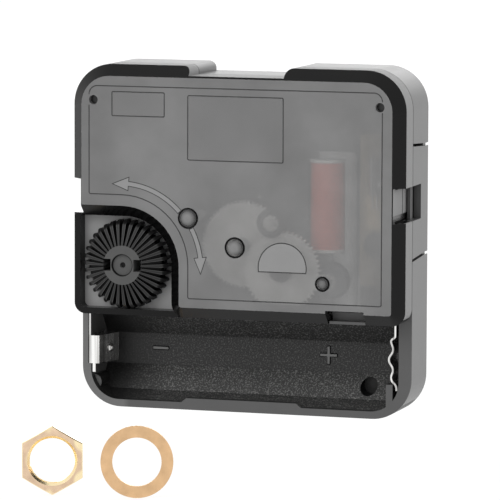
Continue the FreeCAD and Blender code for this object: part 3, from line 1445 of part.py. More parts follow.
def hex_nut():
    radius = NUT_ACROSS_FLATS / math.sqrt(3)
    half = NUT_THICK / 2
    points = []
    for i in range(6):
        angle = math.radians(60 * i + 90)
        points.append(vector(radius * math.cos(angle), half, radius * math.sin(angle)))
    prism = Part.Face(Part.makePolygon(points + points[:1])).extrude(FreeCAD.Vector(0, NUT_THICK, 0))
    lens = turned(
        CENTRE,
        [
            (0, -half),
            (NUT_CHAMFER_RADIUS, -half),
            (radius, NUT_CORNER_DROP - half),
            (radius, half - NUT_CORNER_DROP),
            (NUT_CHAMFER_RADIUS, half),
            (0, half),
        ],
    )
    nut = prism.common(lens).cut(disc(CENTRE, NUT_BORE, -half - OVERRUN, half + OVERRUN))
    return stood_up(nut, NUT_X, NUT_DEPTH, radius)


def washer():
    half = WASHER_THICK / 2
    ring = disc(CENTRE, WASHER_RADIUS, -half, half)
    ring = ring.cut(disc(CENTRE, WASHER_BORE, -half - OVERRUN, half + OVERRUN))
    return stood_up(ring, WASHER_X, WASHER_DEPTH, WASHER_RADIUS)


PIECES = {
    "base_case": base_case,
    "rear_cover": rear_cover,
    "threaded_bush": threaded_bush,
    "hex_nut": hex_nut,
    "washer": washer,
    "setting_knob": setting_knob,
    "setting_gear": setting_gear,
    "motion_wheel": motion_wheel,
    "hour_wheel": hour_wheel,
    "minute_tube": minute_tube,
    "centre_wheel": centre_wheel,
    "third_wheel": third_wheel,
    "seconds_wheel": seconds_wheel,
    "seconds_shaft": seconds_shaft,
    "intermediate_wheel": intermediate_wheel,
    "rotor_pinion": rotor_pinion,
    "rotor_magnet": rotor_magnet,
    "middle_plate": middle_plate,
    "stator_short": stator_short,
    "stator_long": stator_long,
    "coil_core": coil_core,
    "coil_bobbin": coil_bobbin,
    "coil_winding": coil_winding,
    "circuit_board": circuit_board,
    "chip_drop": chip_drop,
    "quartz_crystal": quartz_crystal,
    "negative_contact": negative_contact,
    "positive_contact": positive_contact,
}

os.makedirs("parts", exist_ok=True)
for name, make in PIECES.items():
    shape = make()
    print(name, "solids", len(shape.Solids), "valid", shape.isValid(), "volume %.2f" % shape.Volume)
    shape.exportStep("parts/" + name + ".step")
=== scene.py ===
import json
import math

import bpy
import bmesh
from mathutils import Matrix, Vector

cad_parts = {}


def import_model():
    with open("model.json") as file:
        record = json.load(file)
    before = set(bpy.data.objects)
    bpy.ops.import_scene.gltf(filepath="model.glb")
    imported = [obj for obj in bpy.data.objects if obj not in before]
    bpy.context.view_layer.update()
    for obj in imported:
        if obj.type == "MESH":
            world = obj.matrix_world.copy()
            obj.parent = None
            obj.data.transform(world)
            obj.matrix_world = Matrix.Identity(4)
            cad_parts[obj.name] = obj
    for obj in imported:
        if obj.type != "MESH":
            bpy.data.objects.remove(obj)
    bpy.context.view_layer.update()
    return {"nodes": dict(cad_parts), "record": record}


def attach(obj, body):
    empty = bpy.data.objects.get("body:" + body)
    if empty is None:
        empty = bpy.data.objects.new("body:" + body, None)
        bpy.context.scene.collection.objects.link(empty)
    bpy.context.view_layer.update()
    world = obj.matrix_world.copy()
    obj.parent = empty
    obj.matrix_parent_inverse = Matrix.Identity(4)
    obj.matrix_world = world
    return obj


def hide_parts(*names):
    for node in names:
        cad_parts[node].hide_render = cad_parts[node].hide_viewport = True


# A quartz clock movement seen from the rear, with its fixing nut and washer taken off.
# Lengths below are in millimetres and are turned into metres where the meshes are made.
# A depth is measured from the dial face towards the rear, so a point at depth d has y = -d.

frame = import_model()
nodes = frame["nodes"]
MM = 0.001
KNOB = Vector((-19.2, -3.5635))
KNOB_RIBS = 36
BAY_HOLE = (19.1, -23.3)
PEG = (24.1, 23.25)
PANEL = 15.0
EDGE_ANGLE = math.radians(28)


def point(x, depth, z):
    return Vector((x * MM, -depth * MM, z * MM))


def grey(level):
    return (level, level, level)


BLACK = grey(0.002)


# Materials


def node(tree, kind, sockets=None, **settings):
    """A shader node with its settings, and its sockets set or linked."""
    made = tree.nodes.new("ShaderNode" + kind)
    for name, value in settings.items():
        setattr(made, name, value)
    for name, value in (sockets or {}).items():
        if isinstance(value, bpy.types.NodeSocket):
            tree.links.new(value, made.inputs[name])
        else:
            made.inputs[name].default_value = value
    return made


def new_material(name):
    """A material with its tree, its surface shader and the object's own coordinates."""
    made = bpy.data.materials.new(name)
    made.use_nodes = True
    tree = made.node_tree
    return made, tree, tree.nodes["Principled BSDF"], node(tree, "TexCoord").outputs["Object"]


def noise(tree, coords, size, detail=2.0):
    """Noise whose blotches are about size millimetres wide."""
    sockets = {"Vector": coords, "Scale": 1 / (size * MM), "Detail": detail}
    return node(tree, "TexNoise", sockets).outputs["Fac"]


def ramp(tree, value, low, high, to_low=0.0, to_high=1.0):
    sockets = {"Value": value, "From Min": low, "From Max": high, "To Min": to_low, "To Max": to_high}
    return node(tree, "MapRange", sockets).outputs["Result"]


def blend(tree, fac, first, second):
    """A colour between two, by fac. Each may be a colour or a socket."""
    sockets = {"Fac": fac}
    for name, colour in (("Color1", first), ("Color2", second)):
        sockets[name] = colour if isinstance(colour, bpy.types.NodeSocket) else (*colour, 1)
    return node(tree, "MixRGB", sockets).outputs["Color"]


def maths(tree, operation, first, second=0.0, third=0.0):
    made = node(tree, "Math", {0: first, 1: second, 2: third}, operation=operation)
    return made.outputs["Value"]


def near(tree, value, centre, reach):
    """1 where a value is within reach of a centre, and 0 elsewhere."""
    return node(tree, "Math", {0: value, 1: centre, 2: reach}, operation="COMPARE").outputs["Value"]


def times(tree, first, *others):
    for other in others:
        first = maths(tree, "MULTIPLY", first, other)
    return first


def most(tree, first, *others):
    for other in others:
        first = maths(tree, "MAXIMUM", first, other)
    return first


def soft_disc(tree, x, z, centre, radius, soft):
    """1 inside a circle of the x-z plane, falling to 0 over a soft edge."""
    across = maths(tree, "SUBTRACT", x, centre[0])
    above = maths(tree, "SUBTRACT", z, centre[1])
    square = maths(tree, "ADD", times(tree, across, across), times(tree, above, above))
    return ramp(tree, maths(tree, "SQRT", square), radius + soft, radius - soft)


def soft_box(tree, x, z, left, right, low, high, soft):
    """1 inside a box of the x-z plane, falling to 0 over a soft edge."""
    sides = [ramp(tree, x, left - soft, left + soft), ramp(tree, x, right + soft, right - soft)]
    ends = [ramp(tree, z, low - soft, low + soft), ramp(tree, z, high + soft, high - soft)]
    return times(tree, *sides, *ends)


def places(tree, coords):
    """The place in millimetres: x, depth and z."""
    place = node(tree, "SeparateXYZ", {"Vector": coords}).outputs
    return (
        maths(tree, "MULTIPLY", place["X"], 1 / MM),
        maths(tree, "MULTIPLY", place["Y"], -1 / MM),
        maths(tree, "MULTIPLY", place["Z"], 1 / MM),
    )


def slopes(tree):
    """How far the surface faces the rear or the dial, and up or down."""
    facing = node(tree, "SeparateXYZ", {"Vector": node(tree, "TexCoord").outputs["Normal"]}).outputs
    return [maths(tree, "ABSOLUTE", facing[axis]) for axis in "YZ"]


def shade(colour, factor):
    return tuple(channel * factor for channel in colour)


def link(tree, value, socket):
    tree.links.new(value, socket)


def relief(tree, shader, height, rise):
    """A bump whose full height is rise millimetres."""
    bump = node(tree, "Bump", {"Height": height, "Strength": 1.0, "Distance": rise * MM})
    link(tree, bump.outputs["Normal"], shader.inputs["Normal"])


def moulded(name, colour, roughness, grain=0.12, rise=0.004, mottle=0.2, alpha=1.0):
    """Moulded plastic: slightly mottled, with a fine grain in its skin."""
    made, tree, shader, coords = new_material(name)
    clouds = noise(tree, coords, 5.0, 3.0)
    skin = noise(tree, coords, grain, 3.0)
    mottled = blend(tree, clouds, shade(colour, 1 - mottle), shade(colour, 1 + mottle))
    link(tree, mottled, shader.inputs["Base Color"])
    link(tree, ramp(tree, skin, 0.3, 0.7, roughness - 0.06, roughness + 0.06), shader.inputs["Roughness"])
    shader.inputs["Alpha"].default_value = alpha
    relief(tree, shader, skin, rise)
    return made


def metal(name, colour, roughness, stretch=(1, 1, 1), grain=0.15, rise=0.002, tarnish=0.12):
    """Bare or plated metal: fine tool marks along one way, and a faint tarnish."""
    made, tree, shader, coords = new_material(name)
    marks_at = node(tree, "Mapping", {"Vector": coords, "Scale": stretch}).outputs["Vector"]
    marks = noise(tree, marks_at, grain, 4.0)
    stains = noise(tree, coords, 2.2, 4.0)
    tarnished = blend(tree, ramp(tree, stains, 0.35, 0.75), colour, shade(colour, 1 - tarnish))
    link(tree, tarnished, shader.inputs["Base Color"])
    link(tree, ramp(tree, marks, 0.3, 0.7, roughness * 0.75, roughness * 1.3), shader.inputs["Roughness"])
    shader.inputs["Metallic"].default_value = 1.0
    relief(tree, shader, marks, rise)
    return made


# Zones of the case's plastic: a pair gives where a zone starts and where it is full,
# and a pair of levels gives a depth and its reach.
FACING = (0.90, 0.97)
PARTING_LEVELS = (9.15, 0.19)
BAY_TOP = (-11.9, -12.2)
BAY_REAR = (9.1, 8.9)
BAY_BACK = (0.4, 0.6)
BAY_SIDE = (26.48, 26.38)
BAY_PAINTED_SHADE_END = (-15.0, -22.5)
LOWER_FACETS = (-18.0, -20.0)
BOSS_RISE = (7.2, 7.4)
BOSS_RIGHT = (-20, -21)
HOLE_RADIUS = 1.44
HOLE_LEVELS = (3.0, 2.6)
PEG_RADIUS = 1.0
PEG_LEVELS = (13.5, 1.5)
TOP_FACES = (20, 21)
TOP_DULLNESS = 0.28


def case_plastic():
    """Black plastic: satin outside, with a coarse eroded grain in the bay. In the bay: painted glints, lower
    facets painted lighter and upper ones darker, a boss face painted lighter, and painted shade at its left
    end. Painted shadow along the parting line, in the hole and on the peg's top.
    """
    made, tree, shader, coords = new_material("case_black")
    x, depth, z = places(tree, coords)
    rearward, upright = slopes(tree)
    aside = maths(tree, "ABSOLUTE", x)
    bay = times(
        tree,
        ramp(tree, z, *BAY_TOP),
        ramp(tree, depth, *BAY_REAR),
        ramp(tree, depth, *BAY_BACK),
        ramp(tree, aside, *BAY_SIDE),
    )
    boss_painted_light = times(
        tree,
        ramp(tree, rearward, *FACING),
        ramp(tree, depth, *BOSS_RISE),
        ramp(tree, x, *BOSS_RIGHT),
    )
    bay = maths(tree, "SUBTRACT", bay, times(tree, bay, boss_painted_light))
    # Painted shade: the walls of the hole in the bay are painted black.
    hole = times(tree, soft_disc(tree, x, z, BAY_HOLE, HOLE_RADIUS, 0.01), near(tree, depth, *HOLE_LEVELS))
    slope = times(tree, ramp(tree, upright, 0.2, 0.35), ramp(tree, upright, 0.97, 0.9))
    # Painted shadow: the parting line between case and cover is painted black.
    parting_shadow = maths(tree, "MULTIPLY", near(tree, depth, *PARTING_LEVELS), ramp(tree, rearward, 0.5, 0.3))
    skin = noise(tree, coords, 0.1, 3.0)
    clouds = noise(tree, coords, 6.0, 3.0)
    pits = noise(tree, coords, 0.34, 2.0)
    # The eroded grain is real, and its sparkle is painted glints: pale flecks in the colour.
    glint_flecks = ramp(tree, noise(tree, coords, 0.24, 3.0), 0.50, 0.72)
    satin = blend(tree, clouds, grey(0.080), grey(0.102))
    level = blend(tree, glint_flecks, (0.010, 0.010, 0.0098), (0.13, 0.13, 0.127))
    # Painted light and shade: the bay's upper facets, which face down, are painted darker, and its lower
    # facets, which face up towards the light, lighter.
    upper = blend(tree, glint_flecks, (0.018, 0.018, 0.0178), (0.17, 0.17, 0.166))
    lower = blend(tree, glint_flecks, (0.046, 0.046, 0.0453), (0.28, 0.28, 0.274))
    sloping_painted_shading = blend(tree, ramp(tree, z, *LOWER_FACETS), upper, lower)
    eroded = blend(tree, slope, level, sloping_painted_shading)
    # Painted shade: the bay is painted darker towards its left end, where its wall and the pocket shade it.
    eroded = blend(tree, ramp(tree, x, *BAY_PAINTED_SHADE_END, 0.0, 0.92), eroded, grey(0.004))
    colour = blend(tree, bay, satin, eroded)
    # Painted light: the rear face of the boss is painted lighter, standing for the light it catches in the
    # bay.
    colour = blend(tree, boss_painted_light, colour, grey(0.15))
    # Painted shade: the top of the peg, down in its hole, is painted black.
    peg = times(tree, soft_disc(tree, aside, z, PEG, PEG_RADIUS, 0.05), near(tree, depth, *PEG_LEVELS))
    colour = blend(tree, most(tree, hole, parting_shadow, peg), colour, BLACK)
    link(tree, colour, shader.inputs["Base Color"])
    top = times(tree, ramp(tree, upright, *FACING), ramp(tree, z, *TOP_FACES), TOP_DULLNESS)
    link(tree, ramp(tree, most(tree, bay, top), 0, 1, 0.34, 0.55), shader.inputs["Roughness"])
    height = maths(tree, "ADD", maths(tree, "MULTIPLY", skin, 0.07), maths(tree, "MULTIPLY", pits, bay))
    relief(tree, shader, height, 0.05)
    return made


# Zones of the cover's plastic, and the window that its inner face leaves clear
PANEL_LEVELS = (15.2, 0.4)
POCKET_LEVELS = (10.85, 0.2)
INNER_LEVELS = (13.8, 0.1)
DOME_RISE = (15.02, 15.05)
DOME_SHADE = (15.1, 15.42)
SKIRT_LOW = (5.8, 6.0)
SKIRT_SIDE = (27.6, 27.7)
BOARD_EDGE = (18.8, 20.0)
CLEAR_ZONE = (-24.3, 24.2, -9.0, 25.8)
BARE_PATCH = (21.6, 24.0, 3.6, 9.0)


def cover_plastic():
    """Smoky clear plastic: frosted panel, domes and pocket, a satin skirt, and polished slopes and rims;
    painted light on the pocket's floor, painted shade at the domes' rims and painted shadow along the parting
    line.
    """
    made, tree, shader, coords = new_material("cover_smoky")
    x, depth, z = places(tree, coords)
    rearward = slopes(tree)[0]
    flat = ramp(tree, rearward, *FACING)
    panel = near(tree, depth, *PANEL_LEVELS)
    pocket = near(tree, depth, *POCKET_LEVELS)
    dome = ramp(tree, depth, *DOME_RISE)
    frosted = most(tree, times(tree, flat, most(tree, panel, pocket)), dome)
    outside = most(tree, ramp(tree, z, *SKIRT_LOW), ramp(tree, x, *SKIRT_SIDE))
    skirt = times(tree, ramp(tree, rearward, 0.3, 0.2), outside)
    # Painted shadow: the parting line on the skirt is painted black.
    parting_shadow = maths(tree, "MULTIPLY", near(tree, depth, *PARTING_LEVELS), skirt)
    bare_patch = soft_box(tree, x, z, *BARE_PATCH, 0.5)
    over_board = times(tree, ramp(tree, x, *BOARD_EDGE), ramp(tree, bare_patch, 0, 1, 1, 0))
    thin = maths(tree, "SUBTRACT", 0.95, maths(tree, "MULTIPLY", over_board, 0.6))
    window = soft_box(tree, x, z, *CLEAR_ZONE, 0.15)
    inside = times(tree, flat, near(tree, depth, *INNER_LEVELS), window, thin)
    skin = noise(tree, coords, 0.11, 3.0)
    clouds = ramp(tree, noise(tree, coords, 9.0, 3.0), 0.3, 0.7)
    frost_and_painted_shading = blend(tree, clouds, grey(0.32), grey(0.40))
    # Painted light: the pocket's floor is painted far paler than the panel, standing for light where the
    # pocket's slopes shade it.
    frost_and_painted_shading = blend(tree, pocket, frost_and_painted_shading, grey(0.74))
    # Painted shade: each dome is painted dark at its rim and pale at its top.
    dome_painted_shade = blend(tree, ramp(tree, depth, *DOME_SHADE), grey(0.10), grey(0.42))
    frost_and_painted_shading = blend(tree, dome, frost_and_painted_shading, dome_painted_shade)
    smoke = blend(tree, skirt, grey(0.004), grey(0.23))
    smoke = blend(tree, parting_shadow, smoke, BLACK)
    link(tree, blend(tree, frosted, smoke, frost_and_painted_shading), shader.inputs["Base Color"])
    dull = most(tree, frosted, skirt)
    link(tree, ramp(tree, dull, 0, 1, 0.16, 0.50), shader.inputs["Roughness"])
    shader.inputs["Specular IOR Level"].default_value = 0.18
    clear = most(tree, maths(tree, "MULTIPLY", frosted, 0.38), inside)
    link(tree, maths(tree, "SUBTRACT", 1.0, clear), shader.inputs["Alpha"])
    relief(tree, shader, maths(tree, "MULTIPLY", skin, ramp(tree, dull, 0, 1, 0.15, 1.0)), 0.006)
    return made


DISC_RADIUS = 3.2
HUB_RADIUS = 1.83
DIMPLE_RADIUS = 1.64
DOT_RADIUS = 0.42
RIM_RADIUS = 6.68


def knob_plastic():
    """Dark grey plastic: grooves painted black as shade, rib edges painted paler as highlights, and a black
    ring and centre dot painted as shade in the front disc's dimple.
    """
    made, tree, shader, coords = new_material("knob_grey")
    x, _, z = places(tree, coords)
    across = maths(tree, "SUBTRACT", x, KNOB.x)
    above = maths(tree, "SUBTRACT", z, KNOB.y)
    rib = maths(tree, "COSINE", maths(tree, "MULTIPLY", maths(tree, "ARCTAN2", above, across), KNOB_RIBS))
    disc = soft_disc(tree, x, z, KNOB, DISC_RADIUS, 0.02)
    hub = soft_disc(tree, x, z, KNOB, HUB_RADIUS, 0.03)
    dimple = soft_disc(tree, x, z, KNOB, DIMPLE_RADIUS, 0.03)
    dot = soft_disc(tree, x, z, KNOB, DOT_RADIUS, 0.05)
    rim = maths(tree, "SUBTRACT", 1.0, soft_disc(tree, x, z, KNOB, RIM_RADIUS, 0.12))
    skin = noise(tree, coords, 0.12, 3.0)
    clouds = noise(tree, coords, 2.0, 3.0)
    # Painted shade and highlight: the grooves between the ribs are painted black, and the ribs' edges paler,
    # as if catching light.
    flank = blend(tree, ramp(tree, rib, 0.08, 0.22), grey(0.001), (0.105, 0.105, 0.104))
    crest = blend(tree, ramp(tree, rib, 0.38, 0.60), flank, grey(0.030))
    crest = blend(tree, rim, crest, grey(0.010))
    face = blend(tree, clouds, (0.094, 0.094, 0.093), (0.118, 0.118, 0.117))
    # Painted shade: a black ring at the edge of the front disc's dimple, and a black dot at its centre.
    ring_and_dot_shade = most(tree, maths(tree, "SUBTRACT", hub, dimple), dot)
    face = blend(tree, ring_and_dot_shade, face, grey(0.006))
    link(tree, blend(tree, disc, crest, face), shader.inputs["Base Color"])
    link(tree, ramp(tree, skin, 0.3, 0.7, 0.34, 0.46), shader.inputs["Roughness"])
    shader.inputs["Specular IOR Level"].default_value = 0.15
    relief(tree, shader, skin, 0.004)
    return made


def strip_metal():
    """Nickel-plated strip, rolled and bent, with painted reflections: soft streaks of light and dark along
    its length.
    """
    made, tree, shader, coords = new_material("strip_nickel")
    along = node(tree, "Mapping", {"Vector": coords, "Scale": (1, 0.5, 0.03)}).outputs["Vector"]
    # Painted reflections: the streaks stand for the bright and dark bands that the bent strip reflects.
    streaks = ramp(tree, noise(tree, along, 0.55, 2.0), 0.34, 0.64)
    marks = noise(tree, along, 0.08, 3.0)
    link(tree, blend(tree, streaks, (0.30, 0.295, 0.285), (0.93, 0.925, 0.91)), shader.inputs["Base Color"])
    link(tree, ramp(tree, marks, 0.3, 0.7, 0.14, 0.28), shader.inputs["Roughness"])
    shader.inputs["Metallic"].default_value = 1.0
    relief(tree, shader, marks, 0.002)
    return made


WIRE = 0.09
BANDS_PER_UNIT = 20


def winding_wire():
    """Fine enamelled wire wound close round the bobbin, in rows a little uneven."""
    made, tree, shader, coords = new_material("wire_enamel")
    sockets = {"Vector": coords, "Scale": 1 / (WIRE * MM) / BANDS_PER_UNIT, "Distortion": 0.15}
    rows = node(tree, "TexWave", sockets, bands_direction="Z").outputs["Fac"]
    colour = blend(tree, rows, (0.72, 0.05, 0.02), (1.0, 0.20, 0.10))
    link(tree, colour, shader.inputs["Base Color"])
    shader.inputs["Roughness"].default_value = 0.32
    relief(tree, shader, rows, 0.04)
    return made


def nut_brass():
    """Turned brass: a matt face, with the bevels, the flats and the bore cut bright."""
    made, tree, shader, coords = new_material("brass_nut")
    rearward = slopes(tree)[0]
    matt = ramp(tree, rearward, 0.91, 0.945)
    marks = noise(tree, coords, 0.16, 4.0)
    stains = ramp(tree, noise(tree, coords, 1.4, 3.0), 0.35, 0.7)
    dull = blend(tree, stains, (0.78, 0.585, 0.41), (0.66, 0.485, 0.34))
    link(tree, blend(tree, matt, (0.96, 0.80, 0.50), dull), shader.inputs["Base Color"])
    link(tree, ramp(tree, matt, 0, 1, 0.16, 0.42), shader.inputs["Roughness"])
    shader.inputs["Metallic"].default_value = 1.0
    relief(tree, shader, marks, 0.006)
    return made


def board_face():
    """Tan phenolic board with its woven filler just showing."""
    made, tree, shader, coords = new_material("board_tan")
    stretched = node(tree, "Mapping", {"Vector": coords, "Scale": (1, 1, 0.15)}).outputs["Vector"]
    fibres = noise(tree, stretched, 0.2, 3.0)
    link(tree, blend(tree, fibres, (0.66, 0.50, 0.30), (0.96, 0.82, 0.58)), shader.inputs["Base Color"])
    shader.inputs["Roughness"].default_value = 0.45
    relief(tree, shader, fibres, 0.01)
    return made


SLOT_MATERIALS = {
    "base_black": case_plastic(),
    "smoky_cover": cover_plastic(),
    "knob_black": knob_plastic(),
    "wheel_white": moulded("wheel_white", (0.74, 0.73, 0.70), 0.4, mottle=0.05),
    "wheel_black": moulded("wheel_black", grey(0.05), 0.4),
    "plate_black": moulded("plate_black", (0.05, 0.05, 0.052), 0.45),
    "turned_brass": metal("brass_turned", (0.87, 0.66, 0.40), 0.3, tarnish=0.18),
    "steel_shaft": metal("steel_ground", (0.62, 0.62, 0.63), 0.22, stretch=(1, 12, 1)),
    "core_steel": metal("steel_stamped", (0.34, 0.34, 0.335), 0.35, stretch=(1, 1, 0.1)),
    "magnet_grey": moulded("magnet_sintered", (0.10, 0.10, 0.11), 0.5, rise=0.01),
    "bobbin_white": moulded("bobbin_white", (0.83, 0.82, 0.78), 0.42, mottle=0.05),
    "enamelled_wire": winding_wire(),
    "board_tan": board_face(),
    "resin_black": moulded("resin_black", grey(0.015), 0.15, mottle=0.1),
    "can_nickel": metal("can_nickel", (0.78, 0.78, 0.77), 0.2),
    "contact_nickel": strip_metal(),
}

for part in frame["record"]["subparts"]:
    shown = nodes[part["node"]]
    shown.data.materials.clear()
    shown.data.materials.append(SLOT_MATERIALS[part["material_slot"]])

engraved = moulded("cover_engraved", grey(0.022), 0.5)
field = moulded("cover_field", grey(0.32), 0.42, mottle=0.08, alpha=0.3)
field_pale = moulded("cover_field_pale", grey(0.38), 0.42, mottle=0.08, alpha=0.75)
inner_mark = moulded("cover_inner_mark", grey(0.02), 0.4, alpha=0.6)
# Black paint with little sheen, for the painted shadow round the bay's signs.
sign_shadow = moulded("bay_sign_shadow", BLACK, 0.7)
sign_shadow.node_tree.nodes["Principled BSDF"].inputs["Specular IOR Level"].default_value = 0.03
raised_mark = moulded("bay_mark", (0.19, 0.19, 0.188), 0.4)
washer_brass = metal("brass_rolled", (0.79, 0.52, 0.29), 0.38, stretch=(1, 1, 0.08), grain=0.25, tarnish=0.22)
nodes["washer"].data.materials[0] = washer_brass


# Mesh helpers


def finish_piece(name, mesh, material, smooth=False):
    """Shows a bmesh as a piece that rides on the movement."""
    bmesh.ops.recalc_face_normals(mesh, faces=mesh.faces)
    data = bpy.data.meshes.new(name)
    mesh.to_mesh(data)
    mesh.free()
    for face in data.polygons:
        face.use_smooth = smooth
    piece = bpy.data.objects.new(name, data)
    bpy.context.scene.collection.objects.link(piece)
    data.materials.append(material)
    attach(piece, "movement")
    return piece


def rounded(corners, closed=True):
    """A path through (x, z, radius) corners with its corners rounded."""
    path = []
    count = len(corners)
    for i, (x, z, radius) in enumerate(corners):
        here = Vector((x, z))
        if radius == 0 or (not closed and i in (0, count - 1)):
            path.append(here)
            continue
        before = (Vector(corners[i - 1][:2]) - here).normalized()
        after = (Vector(corners[(i + 1) % count][:2]) - here).normalized()
        half = before.angle(after) / 2
        centre = here + (before + after).normalized() * (radius / math.sin(half))
        start = here + before * (radius / math.tan(half)) - centre
        end = here + after * (radius / math.tan(half)) - centre
        sweep = start.angle_signed(end)
        steps = max(3, round(abs(sweep) / math.radians(6)))
        angle = math.atan2(start.y, start.x)
        for k in range(steps + 1):
            turn = angle - sweep * k / steps
            path.append(centre + Vector((math.cos(turn), math.sin(turn))) * radius)
    return path


def around(centre, radius, degrees):
    """The point at a radius and an angle from a centre."""
    angle = math.radians(degrees)
    return Vector(centre) + Vector((math.cos(angle), math.sin(angle))) * radius


def arc(centre, radius, start, end, steps):
    """Points on an arc, from one angle in degrees to another."""
    path = []
    for k in range(steps + 1):
        path.append(around(centre, radius, start + (end - start) * k / steps))
    return path


def rectangle(left, right, low, high, corner):
    return rounded([(left, low, corner), (right, low, corner), (right, high, corner), (left, high, corner)])


def plate(name, outline, front, rear, material):
    """A flat field with the given outline, between two depths."""
    mesh = bmesh.new()
    upper = [mesh.verts.new(point(p.x, rear, p.y)) for p in outline]
    lower = [mesh.verts.new(point(p.x, front, p.y)) for p in outline]
    mesh.faces.new(upper)
    mesh.faces.new(lower)
    for i in range(len(upper)):
        k = (i + 1) % len(upper)
        mesh.faces.new((upper[i], upper[k], lower[k], lower[i]))
    return finish_piece(name, mesh, material)


BAND_TOP = 0.7
MITRE_LIMIT = 0.3


def band(name, path, width, front, rear, material, closed=True):
    """A narrow raised line along a path, as wide as given at its foot and mitred at its bends."""
    mesh = bmesh.new()
    rings = []
    count = len(path)
    for i, here in enumerate(path):
        back = here - path[i - 1] if closed or i > 0 else path[1] - here
        ahead = path[(i + 1) % count] - here if closed or i < count - 1 else back
        back = back.normalized()
        ahead = ahead.normalized()
        side = (Vector((-back.y, back.x)) + Vector((-ahead.y, ahead.x))).normalized()
        side = side * (width / 2 / max(MITRE_LIMIT, side.dot(Vector((-back.y, back.x)))))
        ring = []
        section = ((side, front), (side * BAND_TOP, rear), (side * -BAND_TOP, rear), (-side, front))
        for across, depth in section:
            ring.append(mesh.verts.new(point(here.x + across.x, depth, here.y + across.y)))
        rings.append(ring)
    last = count if closed else count - 1
    for i in range(last):
        first, second = rings[i], rings[(i + 1) % count]
        for k in range(4):
            mesh.faces.new((first[k], first[(k + 1) % 4], second[(k + 1) % 4], second[k]))
    if not closed:
        mesh.faces.new(rings[0])
        mesh.faces.new(rings[-1])
    return finish_piece(name, mesh, material)


def framed(name, outline, width=0.2, fill=field):
    """A bare raised field with an engraved line round it."""
    plate(name + "_field", outline, PANEL - SUNK, PANEL + FIELD, fill)
    band(name + "_line", outline, width, PANEL - SUNK, PANEL + LINE, engraved)


def lofted(name, rings, material):
    """A closed skin over rings of points, each joined to the next and the last to the first."""
    mesh = bmesh.new()
    made = [[mesh.verts.new(p) for p in ring] for ring in rings]
    count = len(rings[0])
    for i in range(len(made)):
        first, second = made[i], made[(i + 1) % len(made)]
        for k in range(count):
            m = (k + 1) % count
            mesh.faces.new((first[k], first[m], second[m], second[k]))
    return finish_piece(name, mesh, material, smooth=True)


# The cover's panel: border line, bare fields, double arrow and dark rings inside

SUNK = 0.02
FIELD = 0.012
LINE = 0.022
BORDER_LEFT = -24.83
BORDER_RIGHT = 24.5
BORDER_TOP = 25.55
BORDER_LOW = -8.55
BORDER_POCKET_X = -7.95
BORDER_POCKET_Z = 7.95
HOLE_Z = 23.25
HOLE_ROOM = 0.85
LINE_WIDTH = 0.2
ARROW_HALF = 0.38
ARROW_STEPS = 18

lower_border = rounded(
    [
        (BORDER_LEFT, HOLE_Z - HOLE_ROOM, 0),
        (BORDER_LEFT, BORDER_POCKET_Z, 0.3),
        (BORDER_POCKET_X, BORDER_POCKET_Z, 11.3),
        (BORDER_POCKET_X, BORDER_LOW, 0.3),
        (BORDER_RIGHT, BORDER_LOW, 0.3),
        (BORDER_RIGHT, HOLE_Z - HOLE_ROOM, 0),
    ],
    closed=False,
)
upper_border = rounded(
    [
        (BORDER_LEFT, HOLE_Z + HOLE_ROOM, 0),
        (BORDER_LEFT, BORDER_TOP, 1.4),
        (BORDER_RIGHT, BORDER_TOP, 1.4),
        (BORDER_RIGHT, HOLE_Z + HOLE_ROOM, 0),
    ],
    closed=False,
)
band("border_lower", lower_border, LINE_WIDTH, PANEL - SUNK, PANEL + LINE, engraved, closed=False)
band("border_upper", upper_border, LINE_WIDTH, PANEL - SUNK, PANEL + LINE, engraved, closed=False)

framed("small_field", rectangle(-20.9, -12.0, 20.75, 24.65, 0.15))
framed("large_field", rectangle(-8.0, 8.05, 13.93, 24.33, 0.25))
half_disc = arc((7.98, -3.0), 4.02, 190, -10, 40)
framed("half_disc", half_disc, fill=field_pale)


def arrow(name, radius, half_width, body_start, body_end, head_half, head_end):
    """A curved arrow about the knob: a band from one angle to another, then a head."""
    outer = arc(KNOB, radius + half_width, body_start, body_end, ARROW_STEPS)
    inner = arc(KNOB, radius - half_width, body_end, body_start, ARROW_STEPS)
    head = [
        around(KNOB, radius + head_half, body_end),
        around(KNOB, radius, head_end),
        around(KNOB, radius - head_half, body_end),
    ]
    framed(name, outer + head + inner, 0.15, field_pale)


arrow("arrow_left", 13.35, ARROW_HALF, 42.6, 85.2, 1.1, 97.0)
arrow("arrow_down", 13.45, ARROW_HALF, 28.5, 7.4, 1.05, -4.0)

INNER_RINGS = ((6.35, 12.3, 1.85), (5.55, 4.0, 1.85), (7.25, -3.4, 1.5))
RING_WIDTH = 1.1
RING_FRONT = 13.5
RING_REAR = 13.82

for number, (x, z, radius) in enumerate(INNER_RINGS):
    ring = arc((x, z), radius, 0, 345, 23)
    band("inner_ring_%d" % number, ring, RING_WIDTH, RING_FRONT, RING_REAR, inner_mark)

# Polarity signs on the bay's flat

BAY_FLAT = 1.2
SIGN_RISE = 0.22
SIGN_SHADOW_WIDTH = 0.36
HALF_STROKE = 0.19
STROKE_ROUND = 0.076


def sign(name, corners):
    """A raised sign on the bay's flat, with a painted shadow line about its foot."""
    outline = rounded([(x, z, STROKE_ROUND) for x, z in corners])
    plate(name, outline, BAY_FLAT - SUNK, BAY_FLAT + SIGN_RISE, raised_mark)
    # Painted shadow: a black band round the sign's foot.
    band(name + "_foot_shadow", outline, SIGN_SHADOW_WIDTH, BAY_FLAT - SUNK, BAY_FLAT + LINE, sign_shadow)


def minus(x, z, reach):
    return [
        (x - reach, z - HALF_STROKE),
        (x + reach, z - HALF_STROKE),
        (x + reach, z + HALF_STROKE),
        (x - reach, z + HALF_STROKE),
    ]


